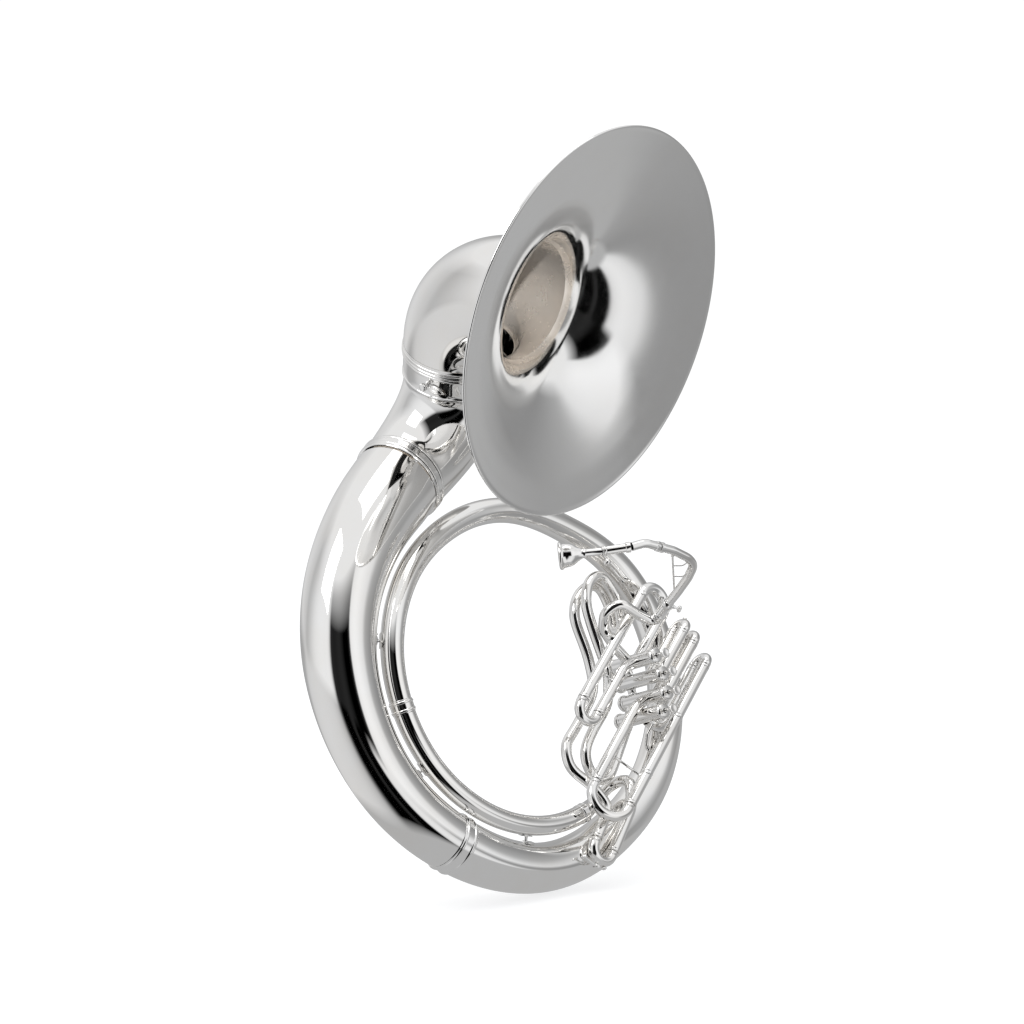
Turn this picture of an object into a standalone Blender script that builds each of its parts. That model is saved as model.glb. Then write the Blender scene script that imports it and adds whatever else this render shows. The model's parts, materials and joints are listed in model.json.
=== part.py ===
"""Sousaphone: brass contrabass with a detachable bell, four piston valves and pull slides.

Design coordinates (millimetres): the coil lies in the XZ plane round the origin, the player's
head side is -Y and Z is up along the coil.  make() turns the design coordinates into the
attitude in which the instrument is carried and puts the shoulder rest at the origin.
"""
import bpy
import math
from mathutils import Matrix, Vector

MM = 0.001
GAP = 0.3

# ---------------------------------------------------------------- attitude of the whole part
TILT_X = -17.0
TILT_Y = 5.25
TURN_Z = 78.0

# ---------------------------------------------------------------- coil
# angle around the coil (deg), centre radius, tube radius, side offset (all mm)
COIL = [
    (112, 402.0, 78.0, 34.0),
    (120, 390.0, 77.4, 30.0),
    (128, 382.0, 76.4, 26.0),
    (143, 379.0, 71.0, 20.0),
    (165, 380.0, 64.6, 18.0),
    (180, 379.5, 61.0, 16.0),
    (210, 366.5, 54.0, 16.0),
    (240, 349.0, 49.5, 16.0),
    (270, 344.5, 43.0, 15.0),
    (300, 338.0, 40.5, 13.0),
    (330, 347.0, 36.0, 12.0),
    (360, 347.5, 30.5, 10.0),
    (390, 329.0, 28.0, 7.0),
    (420, 293.0, 25.0, 3.0),
    (450, 282.0, 22.2, 0.0),
    (480, 278.0, 21.7, -4.0),
    (510, 285.0, 20.7, -8.0),
    (540, 292.0, 19.6, -12.0),
    (570, 289.0, 18.3, -13.0),
    (600, 282.5, 17.6, -15.0),
    (630, 275.5, 17.0, -16.0),
    (660, 267.5, 16.3, -16.0),
]
COIL_WALL = 0.8
BIG_SIDES = 20
RING_SIDES = 14
WRAP_SIDES = 8

UPPER_FERRULE = 120.0
LOWER_FERRULE = (235.0, 239.6)
SIDE_FERRULE = (362.0, 367.0)
INNER_FERRULE = (551.0, 555.5)
COIL_END = 646.0
# the coil lies on the shoulder here; this point is the origin of the whole part
REST_ANGLE = 455.0

# ---------------------------------------------------------------- bell
BELL_CENTRE = (-108.5, -405.0, 487.0)
BELL_AXIS = (0.226, -0.826, -0.517)
BELL_SIDES = 32
# distance behind the mouth, outer radius of the flare
FLARE = [
    (0.0, 323.5),
    (7.0, 298.0),
    (17.0, 263.0),
    (31.0, 222.0),
    (48.0, 185.0),
    (68.0, 154.0),
    (92.0, 129.0),
    (118.0, 112.0),
    (145.0, 102.0),
]
BELL_WALL = 1.0
RIM_BEAD = 2.6
ELBOW_TOP_RADIUS = 102.0
ELBOW_LOW_RADIUS = 97.0
COLLAR_POINT = (-121.0, -79.0, 532.0)
COLLAR_AXIS = (-0.36, -0.65, 0.67)
COLLAR_RADIUS = 96.0
COLLAR_SIDES = 28
SCREW_START = 134

# ---------------------------------------------------------------- valves
VALVE_AXIS = Vector((0.0, -1.0, 0.0))
VALVE_FACE = -90.0
VALVE_SPOTS = [(231.0, 5.0), (243.0, -27.0), (247.0, -61.0), (232.0, -94.0)]
CASING_RADIUS = 13.4
CASING_BORE = 12.4
CASING_LENGTH = 102.0
PISTON_RADIUS = 12.0
STROKE = 18.0

# ---------------------------------------------------------------- tubing
SLIDE_LEAN = 42.8
TUNING_LEAN = 36.9
TUBE = 9.6
TUBE_BORE = 8.9
LEG = 10.2
LEG_BORE = 9.4
WRAP_LEG = 10.5
WRAP_LEG_BORE = 9.65
INNER = 8.8
INNER_BORE = 8.2
SIDES = 10
LEG_DEPTH = -50.0
NEAR_DEPTH = -78.0
FAR_DEPTH = -49.0
ROW_NEAR = -72.0
ROW_FAR = -43.0
TUNING_DEPTH = -40.0
TUNING_POINT = (102.0, -284.0)
TUNING_SPREAD = 43.0

SILVER = (0.86, 0.85, 0.82, 1.0)


# ================================================================ helpers
def clear_scene():
    for item in list(bpy.data.objects):
        bpy.data.objects.remove(item, do_unlink=True)


def silver(name, shade=1.0, rough=0.12):
    mat = bpy.data.materials.new(name)
    mat.use_nodes = True
    shader = mat.node_tree.nodes["Principled BSDF"]
    colour = (SILVER[0] * shade, SILVER[1] * shade, SILVER[2] * shade, 1.0)
    shader.inputs["Base Color"].default_value = colour
    shader.inputs["Metallic"].default_value = 1.0
    shader.inputs["Roughness"].default_value = rough
    mat.diffuse_color = colour
    return mat


def attitude():
    turn = Matrix.Rotation(math.radians(TURN_Z), 3, "Z")
    lean = Matrix.Rotation(math.radians(TILT_Y), 3, "Y")
    nod = Matrix.Rotation(math.radians(TILT_X), 3, "X")
    return turn @ lean @ nod


def make(name, verts, faces, shade=1.0, rough=0.12, pivot=None):
    """Build one object from design millimetres; pivot is where its own origin goes."""
    mesh = bpy.data.meshes.new(name)
    turn = attitude()
    rest = rest_point()
    home = turn @ (Vector(pivot) - rest) * MM if pivot is not None else Vector((0, 0, 0))
    mesh.from_pydata([tuple(turn @ (Vector(v) - rest) * MM - home) for v in verts], [], faces)
    mesh.validate()
    mesh.update()
    obj = bpy.data.objects.new(name, mesh)
    obj.location = home
    bpy.context.scene.collection.objects.link(obj)
    obj.data.materials.append(silver(name, shade, rough))
    return obj


def blend(table, at):
    """Smooth (Catmull-Rom) reading of a table whose first column is the position."""
    last = len(table) - 1
    i = 0
    while i < last - 1 and table[i + 1][0] < at:
        i += 1
    p1 = table[i]
    p2 = table[i + 1]
    p0 = table[i - 1] if i > 0 else p1
    p3 = table[i + 2] if i + 2 <= last else p2
    span = p2[0] - p1[0]
    t = (at - p1[0]) / span
    out = []
    for k in range(1, len(p1)):
        if p0 is p1:
            m1 = (p2[k] - p1[k]) / span
        else:
            m1 = (p2[k] - p0[k]) / (p2[0] - p0[0])
        if p3 is p2:
            m2 = (p2[k] - p1[k]) / span
        else:
            m2 = (p3[k] - p1[k]) / (p3[0] - p1[0])
        h00 = 2 * t ** 3 - 3 * t ** 2 + 1
        h10 = t ** 3 - 2 * t ** 2 + t
        h01 = -2 * t ** 3 + 3 * t ** 2
        h11 = t ** 3 - t ** 2
        out.append(h00 * p1[k] + h10 * span * m1 + h01 * p2[k] + h11 * span * m2)
    return out


def coil_point(angle):
    centre, radius, side = blend(COIL, angle)
    turn = math.radians(angle)
    return Vector((centre * math.cos(turn), side, centre * math.sin(turn))), radius


def rest_point():
    """Inner face of the coil where it lies on the shoulder."""
    centre, radius, side = blend(COIL, REST_ANGLE)
    turn = math.radians(REST_ANGLE)
    reach = centre - radius
    return Vector((reach * math.cos(turn), side, reach * math.sin(turn)))


def coil_tangent(angle):
    a, _ = coil_point(angle - 0.05)
    b, _ = coil_point(angle + 0.05)
    return (b - a).normalized()


def lean_vectors(lean):
    """Unit vectors along the slides (outward, up) and across them, in the coil plane."""
    lean = math.radians(lean)
    along = Vector((math.sin(lean), 0.0, math.cos(lean)))
    across = Vector((math.cos(lean), 0.0, -math.sin(lean)))
    return along, across


def leg_point(along_mm, across_mm, depth):
    """Point given by its distances along and across the slides and its depth."""
    along, across = lean_vectors(SLIDE_LEAN)
    return along * along_mm + across * across_mm + Vector((0.0, depth, 0.0))


def hermite(start, start_dir, end, end_dir, pull, steps):
    """Smooth centre line between two ends; returns points and unit tangents."""
    pts = []
    tans = []
    for k in range(steps + 1):
        t = k / steps
        h00 = 2 * t ** 3 - 3 * t ** 2 + 1
        h10 = t ** 3 - 2 * t ** 2 + t
        h01 = -2 * t ** 3 + 3 * t ** 2
        h11 = t ** 3 - t ** 2
        pts.append(start * h00 + start_dir * (pull * h10) + end * h01 + end_dir * (pull * h11))
        d00 = 6 * t ** 2 - 6 * t
        d10 = 3 * t ** 2 - 4 * t + 1
        d11 = 3 * t ** 2 - 2 * t
        tan = (start - end) * d00 + start_dir * (pull * d10) + end_dir * (pull * d11)
        tans.append(tan.normalized())
    return pts, tans


def rounded(points, bend, step=22.5):
    """Polyline with its corners rounded; bend is one radius or one per inner corner."""
    pts = [Vector(p) for p in points]
    out = [pts[0]]
    for i in range(1, len(pts) - 1):
        radius = bend[i - 1] if isinstance(bend, (list, tuple)) else bend
        into = (pts[i] - pts[i - 1]).normalized()
        away = (pts[i + 1] - pts[i]).normalized()
        turn = into.angle(away)
        if turn < 0.02:
            out.append(pts[i])
            continue
        reach = radius * math.tan(turn / 2)
        limit = 0.49 * min((pts[i] - pts[i - 1]).length, (pts[i + 1] - pts[i]).length)
        if i == 1:
            limit = min(0.98 * (pts[i] - pts[i - 1]).length, 0.49 * (pts[i + 1] - pts[i]).length)
        if i == len(pts) - 2:
            near = 0.49 * (pts[i] - pts[i - 1]).length
            if i == 1:
                near = 0.98 * (pts[i] - pts[i - 1]).length
            limit = min(near, 0.98 * (pts[i + 1] - pts[i]).length)
        reach = min(reach, limit)
        radius = reach / math.tan(turn / 2)
        side = (away - into * away.dot(into)).normalized()
        centre = pts[i] - into * reach + side * radius
        count = max(1, int(math.ceil(math.degrees(turn) / step - 0.01)))
        for k in range(count + 1):
            a = turn * k / count
            out.append(centre + into * (radius * math.sin(a)) - side * (radius * math.cos(a)))
    out.append(pts[-1])
    clean = [out[0]]
    for p in out[1:]:
        if (p - clean[-1]).length > 0.4:
            clean.append(p)
    return clean


def path_tangents(points):
    tans = []
    for i in range(len(points)):
        if i == 0:
            t = points[1] - points[0]
        elif i == len(points) - 1:
            t = points[-1] - points[-2]
        else:
            a = (points[i] - points[i - 1]).normalized()
            b = (points[i + 1] - points[i]).normalized()
            t = a + b
        tans.append(t.normalized())
    return tans


def path_frames(points, tans, first):
    """Rotation-minimising frames; first is a hint for the starting side vector."""
    side = Vector(first) - tans[0] * Vector(first).dot(tans[0])
    side.normalize()
    out = []
    for i, t in enumerate(tans):
        if i > 0:
            side = side - t * side.dot(t)
            side.normalize()
        out.append((side.copy(), t.cross(side).normalized()))
    return out


def ring(centre, side, other, radius, count):
    verts = []
    for k in range(count):
        a = 2 * math.pi * k / count
        verts.append(centre + side * (radius * math.cos(a)) + other * (radius * math.sin(a)))
    return verts


def bridge(faces, a, b, count):
    for k in range(count):
        n = (k + 1) % count
        faces.append((a + k, a + n, b + n, b + k))


def tube_data(points, outer, inner, sides, hint, tans=None):
    """Open-ended tube: outer skin, inner skin and a flat annulus at each end."""
    pts = [Vector(p) for p in points]
    if tans is None:
        tans = path_tangents(pts)
    frames = path_frames(pts, tans, hint)
    n = len(pts)
    outer = outer if isinstance(outer, (list, tuple)) else [outer] * n
    inner = inner if isinstance(inner, (list, tuple)) else [inner] * n
    verts = []
    for i in range(n):
        verts += ring(pts[i], frames[i][0], frames[i][1], outer[i], sides)
    for i in range(n):
        verts += ring(pts[i], frames[i][0], frames[i][1], inner[i], sides)
    faces = []
    for i in range(n - 1):
        bridge(faces, i * sides, (i + 1) * sides, sides)
    base = n * sides
    for i in range(n - 1):
        bridge(faces, base + (i + 1) * sides, base + i * sides, sides)
    bridge(faces, base, 0, sides)
    bridge(faces, (n - 1) * sides, base + (n - 1) * sides, sides)
    return verts, faces


def rod_data(points, radius, sides, hint, tans=None):
    """Solid rod with flat ends."""
    pts = [Vector(p) for p in points]
    if tans is None:
        tans = path_tangents(pts)
    frames = path_frames(pts, tans, hint)
    n = len(pts)
    radius = radius if isinstance(radius, (list, tuple)) else [radius] * n
    verts = []
    for i in range(n):
        verts += ring(pts[i], frames[i][0], frames[i][1], radius[i], sides)
    faces = []
    for i in range(n - 1):
        bridge(faces, i * sides, (i + 1) * sides, sides)
    faces.append(tuple(reversed(range(sides))))
    faces.append(tuple((n - 1) * sides + k for k in range(sides)))
    return verts, faces


def turned(name, origin, axis, profile, sides, hint, bore=None, pivot=None):
    """Turned piece: profile of (distance along the axis, radius); bore makes it a sleeve."""
    axis = Vector(axis).normalized()
    side = Vector(hint) - axis * Vector(hint).dot(axis)
    side.normalize()
    other = axis.cross(side).normalized()
    loop = list(profile)
    if bore is not None:
        loop += list(reversed(bore))
    verts = []
    for d, r in loop:
        verts += ring(Vector(origin) + axis * d, side, other, r, sides)
    faces = []
    count = len(loop)
    for i in range(count - 1):
        bridge(faces, i * sides, (i + 1) * sides, sides)
    if bore is not None:
        bridge(faces, (count - 1) * sides, 0, sides)
    else:
        faces.append(tuple(reversed(range(sides))))
        faces.append(tuple((count - 1) * sides + k for k in range(sides)))
    return make(name, verts, faces, pivot=pivot)


def tube(name, points, outer, inner, sides=SIDES, hint=(0, 1, 0), tans=None, pivot=None):
    verts, faces = tube_data(points, outer, inner, sides, hint, tans)
    return make(name, verts, faces, pivot=pivot)


def rod(name, points, radius, sides=8, hint=(0, 1, 0), tans=None, pivot=None):
    verts, faces = rod_data(points, radius, sides, hint, tans)
    return make(name, verts, faces, pivot=pivot)


def combine(target, tools, operation):
    """Boolean the tools into the target and throw the tools away."""
    for tool in tools:
        tool.hide_render = True
        tool.display_type = "WIRE"
        mod = target.modifiers.new(operation.lower(), "BOOLEAN")
        mod.operation = operation
        mod.solver = "EXACT"
        mod.object = tool
    graph = bpy.context.evaluated_depsgraph_get()
    mesh = bpy.data.meshes.new_from_object(target.evaluated_get(graph))
    old = target.data
    target.modifiers.clear()
    target.data = mesh
    mesh.name = target.name
    while len(mesh.materials) > 1:
        mesh.materials.pop(index=len(mesh.materials) - 1)
    bpy.data.meshes.remove(old)
    for tool in tools:
        bpy.data.objects.remove(tool, do_unlink=True)
    return target


def fuse(target, tools):
    return combine(target, tools, "UNION")


def cut(target, tools):
    return combine(target, tools, "DIFFERENCE")


# ================================================================ bell
def bell_axis():
    return Vector(BELL_AXIS).normalized()


def bell_behind(distance):
    return Vector(BELL_CENTRE) - bell_axis() * distance


def collar_axis():
    return Vector(COLLAR_AXIS).normalized()


def build_bell():
    outside = [(-FLARE[-1][0], FLARE[-1][1])]
    for d, r in reversed(FLARE[1:-1]):
        outside.append((-d, r))
    outside += [(-3.4, 322.0), (-RIM_BEAD, 325.0), (0.0, 325.0), (1.2, 323.0)]
    inside = [(-FLARE[-1][0], FLARE[-1][1] - BELL_WALL)]
    for d, r in reversed(FLARE[1:-1]):
        inside.append((-d + 0.9 * BELL_WALL, r - 0.4 * BELL_WALL))
    inside.append((-0.6, 320.0))
    turned("bell_flare", BELL_CENTRE, bell_axis(), outside, BELL_SIDES, (0, 0, 1),
           bore=inside, pivot=COLLAR_POINT)


def build_elbow():
    steps = 8
    start = Vector(COLLAR_POINT) + collar_axis() * 22.0
    end = bell_behind(FLARE[-1][0] + GAP)
    pull = (end - start).length * 1.15
    pts, tans = hermite(start, collar_axis(), end, bell_axis(), pull, steps)
    radii = []
    for k in range(steps + 1):
        radii.append(ELBOW_LOW_RADIUS + (ELBOW_TOP_RADIUS - ELBOW_LOW_RADIUS) * k / steps)
    inner = [r - BELL_WALL for r in radii]
    tube("bell_elbow", pts, radii, inner, BIG_SIDES, (0, 0, 1), tans, pivot=COLLAR_POINT)


def build_collar():
    base = Vector(COLLAR_POINT)
    facet = math.cos(math.pi / COLLAR_SIDES)
    tenon = COLLAR_RADIUS - 4.0
    profile = [(-21.0, tenon), (5.0, tenon), (5.0, 97.6), (7.5, 99.2), (11.0, 97.6),
               (14.5, 99.2), (17.0, 97.8), (21.7, 97.2)]
    bore = [(-21.0, tenon - 2.0), (5.0, tenon - 2.0), (14.0, tenon - 1.0),
            (21.7, tenon - 0.4)]
    turned("bell_tenon", base, collar_axis(), profile, COLLAR_SIDES, (0, 0, 1), bore=bore,
           pivot=COLLAR_POINT)
    socket = (tenon + GAP) / facet
    profile = [(-38.7, 95.2), (-36.0, 97.2), (-33.0, 95.8), (-26.0, 95.6), (-3.0, 96.2),
               (-1.0, 97.8), (2.0, 98.2), (4.6, 97.0)]
    bore = [(-38.7, 93.0), (-24.0, 91.0), (-22.0, socket), (4.6, socket)]
    turned("bell_receiver", base, collar_axis(), profile, COLLAR_SIDES, (0, 0, 1), bore=bore)


def screw_frame(index):
    axis = collar_axis()
    side = Vector((0, 0, 1)) - axis * axis.z
    side.normalize()
    other = axis.cross(side).normalized()
    turn = math.radians(SCREW_START + 120 * index)
    out = side * math.cos(turn) + other * math.sin(turn)
    return Vector(COLLAR_POINT) + axis * -13.0, out


def build_bell_screws():
    for index in range(3):
        centre, out = screw_frame(index)
        start = COLLAR_RADIUS + 0.5
        profile = [(start, 5.2), (start + 3.0, 5.2), (start + 3.6, 2.2), (start + 9.0, 2.2),
                   (start + 9.6, 6.5), (start + 12.0, 7.5), (start + 15.0, 6.5),
                   (start + 16.5, 3.0)]
        turned("bell_screw_%d" % (index + 1), centre, out, profile, 10, collar_axis(),
               pivot=centre + out * start)


# ================================================================ coil
def coil_piece(name, start, end, step, sides):
    count = max(2, int(round((end - start) / step)))
    pts = []
    radii = []
    tans = []
    for k in range(count + 1):
        a = start + (end - start) * k / count
        p, r = coil_point(a)
        pts.append(p)
        radii.append(r)
        tans.append(coil_tangent(a))
    inner = [r - COIL_WALL for r in radii]
    tube(name, pts, radii, inner, sides, (0, 1, 0), tans)


def angle_gap(angle):
    centre = blend(COIL, angle)[0]
    return math.degrees(GAP / centre)


def coil_ferrule(name, span, sides, raise_by=1.6, bead=3.0):
    """Joining sleeve with a bead near each end."""
    start, end = span
    width = end - start
    marks = [(0.0, raise_by), (0.20, bead), (0.36, raise_by), (0.64, raise_by), (0.80, bead),
             (1.0, raise_by)]
    pts = []
    outer = []
    inner = []
    tans = []
    for t, lift in marks:
        a = start + width * t
        p, r = coil_point(a)
        pts.append(p)
        outer.append(r + lift)
        inner.append(r - COIL_WALL)
        tans.append(coil_tangent(a))
    tube(name, pts, outer, inner, sides, (0, 1, 0), tans)


def upper_joint():
    """Centre, outward axis and radius of the joint below the S-shaped branch."""
    origin, radius = coil_point(UPPER_FERRULE)
    return origin, -coil_tangent(UPPER_FERRULE), radius


def build_upper_ferrule():
    """Sleeve with two bold beads where the S-shaped branch meets the big branch."""
    origin, axis, radius = upper_joint()
    low = -14.0
    profile = [(low, radius + 0.4), (low + 3, radius + 2.0), (low + 7, radius + 3.6),
               (low + 11, radius + 2.0), (low + 18, radius + 2.2), (low + 22, radius + 4.0),
               (low + 26, radius + 2.2), (low + 29, radius + 0.6)]
    bore = [(low, radius - 1.0), (low + 29, radius - 0.9)]
    turned("upper_ferrule", origin, axis, profile, BIG_SIDES, (0, 1, 0), bore=bore)


def build_upper_branch():
    origin, axis, radius = upper_joint()
    start = origin + axis * (15.0 + GAP)
    end = Vector(COLLAR_POINT) - collar_axis() * (38.7 + GAP)
    steps = 9
    pull = (end - start).length * 1.1
    pts, tans = hermite(start, axis, end, collar_axis(), pull, steps)
    radii = []
    for k in range(steps + 1):
        radii.append(radius + 0.4 + (94.8 - radius) * k / steps)
    inner = [r - COIL_WALL for r in radii]
    tube("upper_branch", pts, radii, inner, BIG_SIDES, (0, 1, 0), tans)


def build_coil():
    first = UPPER_FERRULE + math.degrees(17.0 / blend(COIL, UPPER_FERRULE)[0])
    coil_piece("big_branch", first, LOWER_FERRULE[0] - angle_gap(240), 9.2, BIG_SIDES)
    coil_ferrule("lower_ferrule", LOWER_FERRULE, BIG_SIDES)
    coil_piece("bottom_bow", LOWER_FERRULE[1] + angle_gap(240),
               SIDE_FERRULE[0] - angle_gap(360), 11.5, BIG_SIDES)
    coil_ferrule("side_ferrule", SIDE_FERRULE, BIG_SIDES)
    coil_piece("top_branch", SIDE_FERRULE[1] + angle_gap(360),
               INNER_FERRULE[0] - angle_gap(550), 14.0, RING_SIDES)
    coil_ferrule("inner_ferrule", INNER_FERRULE, RING_SIDES, 1.2, 2.2)
    coil_piece("inner_branch", INNER_FERRULE[1] + angle_gap(560), COIL_END - angle_gap(646),
               12.5, RING_SIDES)


def saddle(name, at, toward, spread, angle_step, lift):
    """Curved pad lying on a coil tube at one angle, on the side facing another point."""
    rows = 3
    cols = 5
    verts = []
    for layer in (lift, lift + 1.5):
        for i in range(rows):
            a = at + angle_step * (i - 1)
            p, r = coil_point(a)
            t = coil_tangent(a)
            face = Vector(toward) - p
            face = (face - t * face.dot(t)).normalized()
            across = t.cross(face)
            for j in range(cols):
                turn = math.radians(spread * (j / (cols - 1) - 0.5) * 2)
                out = face * math.cos(turn) + across * math.sin(turn)
                verts.append(p + out * (r + layer))
    faces = []
    base = rows * cols
    for i in range(rows - 1):
        for j in range(cols - 1):
            a = i * cols + j
            faces.append((a, a + 1, a + cols + 1, a + cols))
            faces.append((base + a, base + a + cols, base + a + cols + 1, base + a + 1))
    for i in range(rows - 1):
        a = i * cols
        faces.append((a, a + cols, base + a + cols, base + a))
        b = i * cols + cols - 1
        faces.append((b, base + b, base + b + cols, b + cols))
    for j in range(cols - 1):
        faces.append((j, base + j, base + j + 1, j + 1))
        c = (rows - 1) * cols + j
        faces.append((c, c + 1, base + c + 1, base + c))
    return make(name, verts, faces)


def coil_brace(name, outer_angle, inner_angle, bar=2.6):
    """Short bar between the two turns of the coil with a pad on each tube."""
    p, r = coil_point(outer_angle)
    q, s = coil_point(inner_angle)
    line = (q - p).normalized()
    body = rod(name, [p + line * (r + 2.6), q - line * (s + 1.4)], bar, 10)
    pads = [saddle(name + "_pad_a", outer_angle, q, 12, 1.9, 1.9),
            saddle(name + "_pad_b", inner_angle, p, 30, 2.4, 0.7)]
    fuse(body, pads)


def build_braces():
    coil_brace("coil_brace_1", 171.5, 531.5)
    coil_brace("coil_brace_2", 215.0, 574.0)
    coil_brace("coil_brace_3", 263.0, 620.5)


# ================================================================ valves
def valve_point(index, depth):
    x, z = VALVE_SPOTS[index]
    return Vector((x, depth, z))


def casing_cutter(index):
    radius = (CASING_RADIUS + GAP) / math.cos(math.pi / 20)
    points = [valve_point(index, VALVE_FACE - 20), valve_point(index, VALVE_FACE + 140)]
    return rod("cutter", points, radius, 20, (1, 0, 0))


def build_valves():
    hint = (1, 0, 0)
    for i in range(4):
        top = valve_point(i, VALVE_FACE)
        n = i + 1
        length = CASING_LENGTH
        casing = turned("casing_%d" % n, top, VALVE_AXIS,
                        [(-length, CASING_RADIUS), (0.0, CASING_RADIUS)], 20, hint,
                        bore=[(-length, CASING_BORE), (0.0, CASING_BORE)])
        if i < 3:
            # knuckle: the short cross tube to the next casing, soldered to this one
            depth = VALVE_FACE + 74.0 + 6.0 * i
            a = valve_point(i, depth)
            b = valve_point(i + 1, depth)
            line = (b - a).normalized()
            knuckle = rod("knuckle", [a + line * 12.9, b], 7.6, 12)
            cut(knuckle, [casing_cutter(i + 1)])
            fuse(casing, [knuckle])
        turned("top_cap_%d" % n, top, VALVE_AXIS,
               [(GAP, 14.4), (2.0, 15.0), (7.0, 15.0), (10.0, 12.0)], 16,
               hint, bore=[(GAP, 11.0), (6.0, 11.0), (6.6, 4.2), (10.0, 4.2)])
        turned("bottom_cap_%d" % n, top - VALVE_AXIS * length, -VALVE_AXIS,
               [(GAP, 14.4), (6.5, 15.0), (8.5, 12.5), (9.5, 6.0)], 16,
               hint, bore=[(GAP, 11.0), (7.0, 11.0), (9.5, 2.0)])
        turned("piston_%d" % n, top, VALVE_AXIS,
               [(-72.0, 10.5), (-71.0, PISTON_RADIUS), (-14.0, PISTON_RADIUS), (-13.0, 10.0),
                (-12.8, 3.0), (28.4, 3.0), (29.0, 8.2), (30.4, 9.2), (32.4, 9.0),
                (33.4, 7.2)], 10, hint, pivot=top)


# ================================================================ slides
def u_slide(name, a, b, direction, insert, crook_steps=6, reach=8.0):
    """Moving U: two straight inner legs and the half-round crook that joins them.

    a and b are the open ends of the two fixed legs, direction is the way out."""
    a = Vector(a)
    b = Vector(b)
    direction = Vector(direction).normalized()
    across = b - a
    across = across - direction * across.dot(direction)
    half = across.length / 2
    across.normalize()
    level = max(a.dot(direction), b.dot(direction))
    a_top = a + direction * (level - a.dot(direction))
    b_top = b + direction * (level - b.dot(direction))
    mid = (a_top + b_top) / 2
    lip = direction * 0.7
    step = direction * 1.3
    pts = [a - direction * insert, a + lip, a + step, a_top + direction * (reach - 1.4)]
    outer = [INNER, INNER, LEG, LEG]
    centre = mid + direction * reach
    for k in range(crook_steps + 1):
        turn = math.pi * k / crook_steps
        pts.append(centre - across * (half * math.cos(turn)) + direction * (half * math.sin(turn)))
        outer.append(TUBE)
    pts += [b_top + direction * (reach - 1.4), b + step, b + lip, b - direction * insert]
    outer += [LEG, LEG, INNER, INNER]
    inner = [INNER_BORE] * len(pts)
    normal = direction.cross(across)
    return tube(name, pts, outer, inner, SIDES, normal, pivot=(a + b) / 2)


def bar(a, b, ra, rb, radius=2.4):
    """Short round bar between the walls of two tubes given by centre points."""
    a = Vector(a)
    b = Vector(b)
    line = (b - a).normalized()
    return rod("bar", [a + line * (ra - 0.75), b - line * (rb - 0.75)], radius, 8, (1, 0, 0.4))


def build_first_valve():
    """Valve 1: loop over the top, down slide on the left."""
    along, across = lean_vectors(SLIDE_LEAN)
    left = 107.0
    right = 148.0
    home = 164.0
    casing = valve_point(0, LEG_DEPTH)
    end_level = 14.0
    loop = rounded([leg_point(end_level, left, LEG_DEPTH), leg_point(303.0, left, LEG_DEPTH),
                    leg_point(303.0, home, LEG_DEPTH), leg_point(165.0, home, LEG_DEPTH)],
                   28.0)
    leg = rounded([leg_point(end_level, right, LEG_DEPTH), leg_point(124.0, right, LEG_DEPTH),
                   casing], 24.0)
    body = tube("first_loop", loop, LEG, LEG_BORE)
    cut(body, [casing_cutter(0)])
    other = tube("leg", leg, LEG, LEG_BORE)
    cut(other, [casing_cutter(0)])
    tie = bar(leg_point(86.0, left, LEG_DEPTH), leg_point(86.0, right, LEG_DEPTH), LEG, LEG)
    fuse(body, [tie, other])
    u_slide("slide_1", leg_point(end_level, left, LEG_DEPTH),
            leg_point(end_level, right, LEG_DEPTH), -along, 62.0)


def build_short_slide(n, index, across_mm, top_level, start_level):
    """Valves 2 and 3: two short legs one behind the other and an upward crook."""
    along, across = lean_vectors(SLIDE_LEAN)
    near = [leg_point(start_level, across_mm, NEAR_DEPTH),
            leg_point(top_level, across_mm, NEAR_DEPTH)]
    far = [leg_point(start_level, across_mm, FAR_DEPTH),
           leg_point(top_level, across_mm, FAR_DEPTH)]
    name = ("second_legs", "third_legs")[n - 2]
    body = tube(name, near, LEG, LEG_BORE)
    cut(body, [casing_cutter(index)])
    other = tube("leg", far, LEG, LEG_BORE)
    cut(other, [casing_cutter(index)])
    middle = start_level + 34.0
    tie = bar(leg_point(middle, across_mm, NEAR_DEPTH), leg_point(middle, across_mm, FAR_DEPTH),
              LEG, LEG)
    fuse(body, [tie, other])
    u_slide("slide_%d" % n, near[1], far[1], along, 56.0)


def build_fourth_valve():
    """Valve 4: upper slide, long straight leg past the caps, lower slide, return leg."""
    along, across = lean_vectors(SLIDE_LEAN)
    level = 247.0
    row = 279.0
    inlet = rounded([leg_point(level, row, ROW_FAR), leg_point(92.0, row, ROW_FAR),
                     valve_point(3, ROW_FAR)], 26.0)
    body = tube("fourth_inlet", inlet, LEG, LEG_BORE)
    cut(body, [casing_cutter(3)])
    low = -88.0
    top = leg_point(level, row, ROW_NEAR)
    bottom = leg_point(low, row, ROW_NEAR)
    leg = tube("fourth_legs", [top, bottom], LEG, LEG_BORE)
    back_row = 208.4
    back = rounded([leg_point(low, back_row, LEG_DEPTH), leg_point(88.0, back_row, LEG_DEPTH),
                    valve_point(2, LEG_DEPTH)], 30.0)
    other = tube("leg", back, LEG, LEG_BORE)
    cut(other, [casing_cutter(2), casing_cutter(3)])
    tie = bar(leg_point(-26.0, back_row, LEG_DEPTH), leg_point(-26.0, row, ROW_NEAR), LEG, LEG)
    fuse(leg, [tie, other])
    u_slide("slide_4", top, leg_point(level, row, ROW_FAR), along, 64.0)
    u_slide("slide_5", leg_point(low, back_row, LEG_DEPTH), bottom, -along, 74.0, 8)


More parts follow.
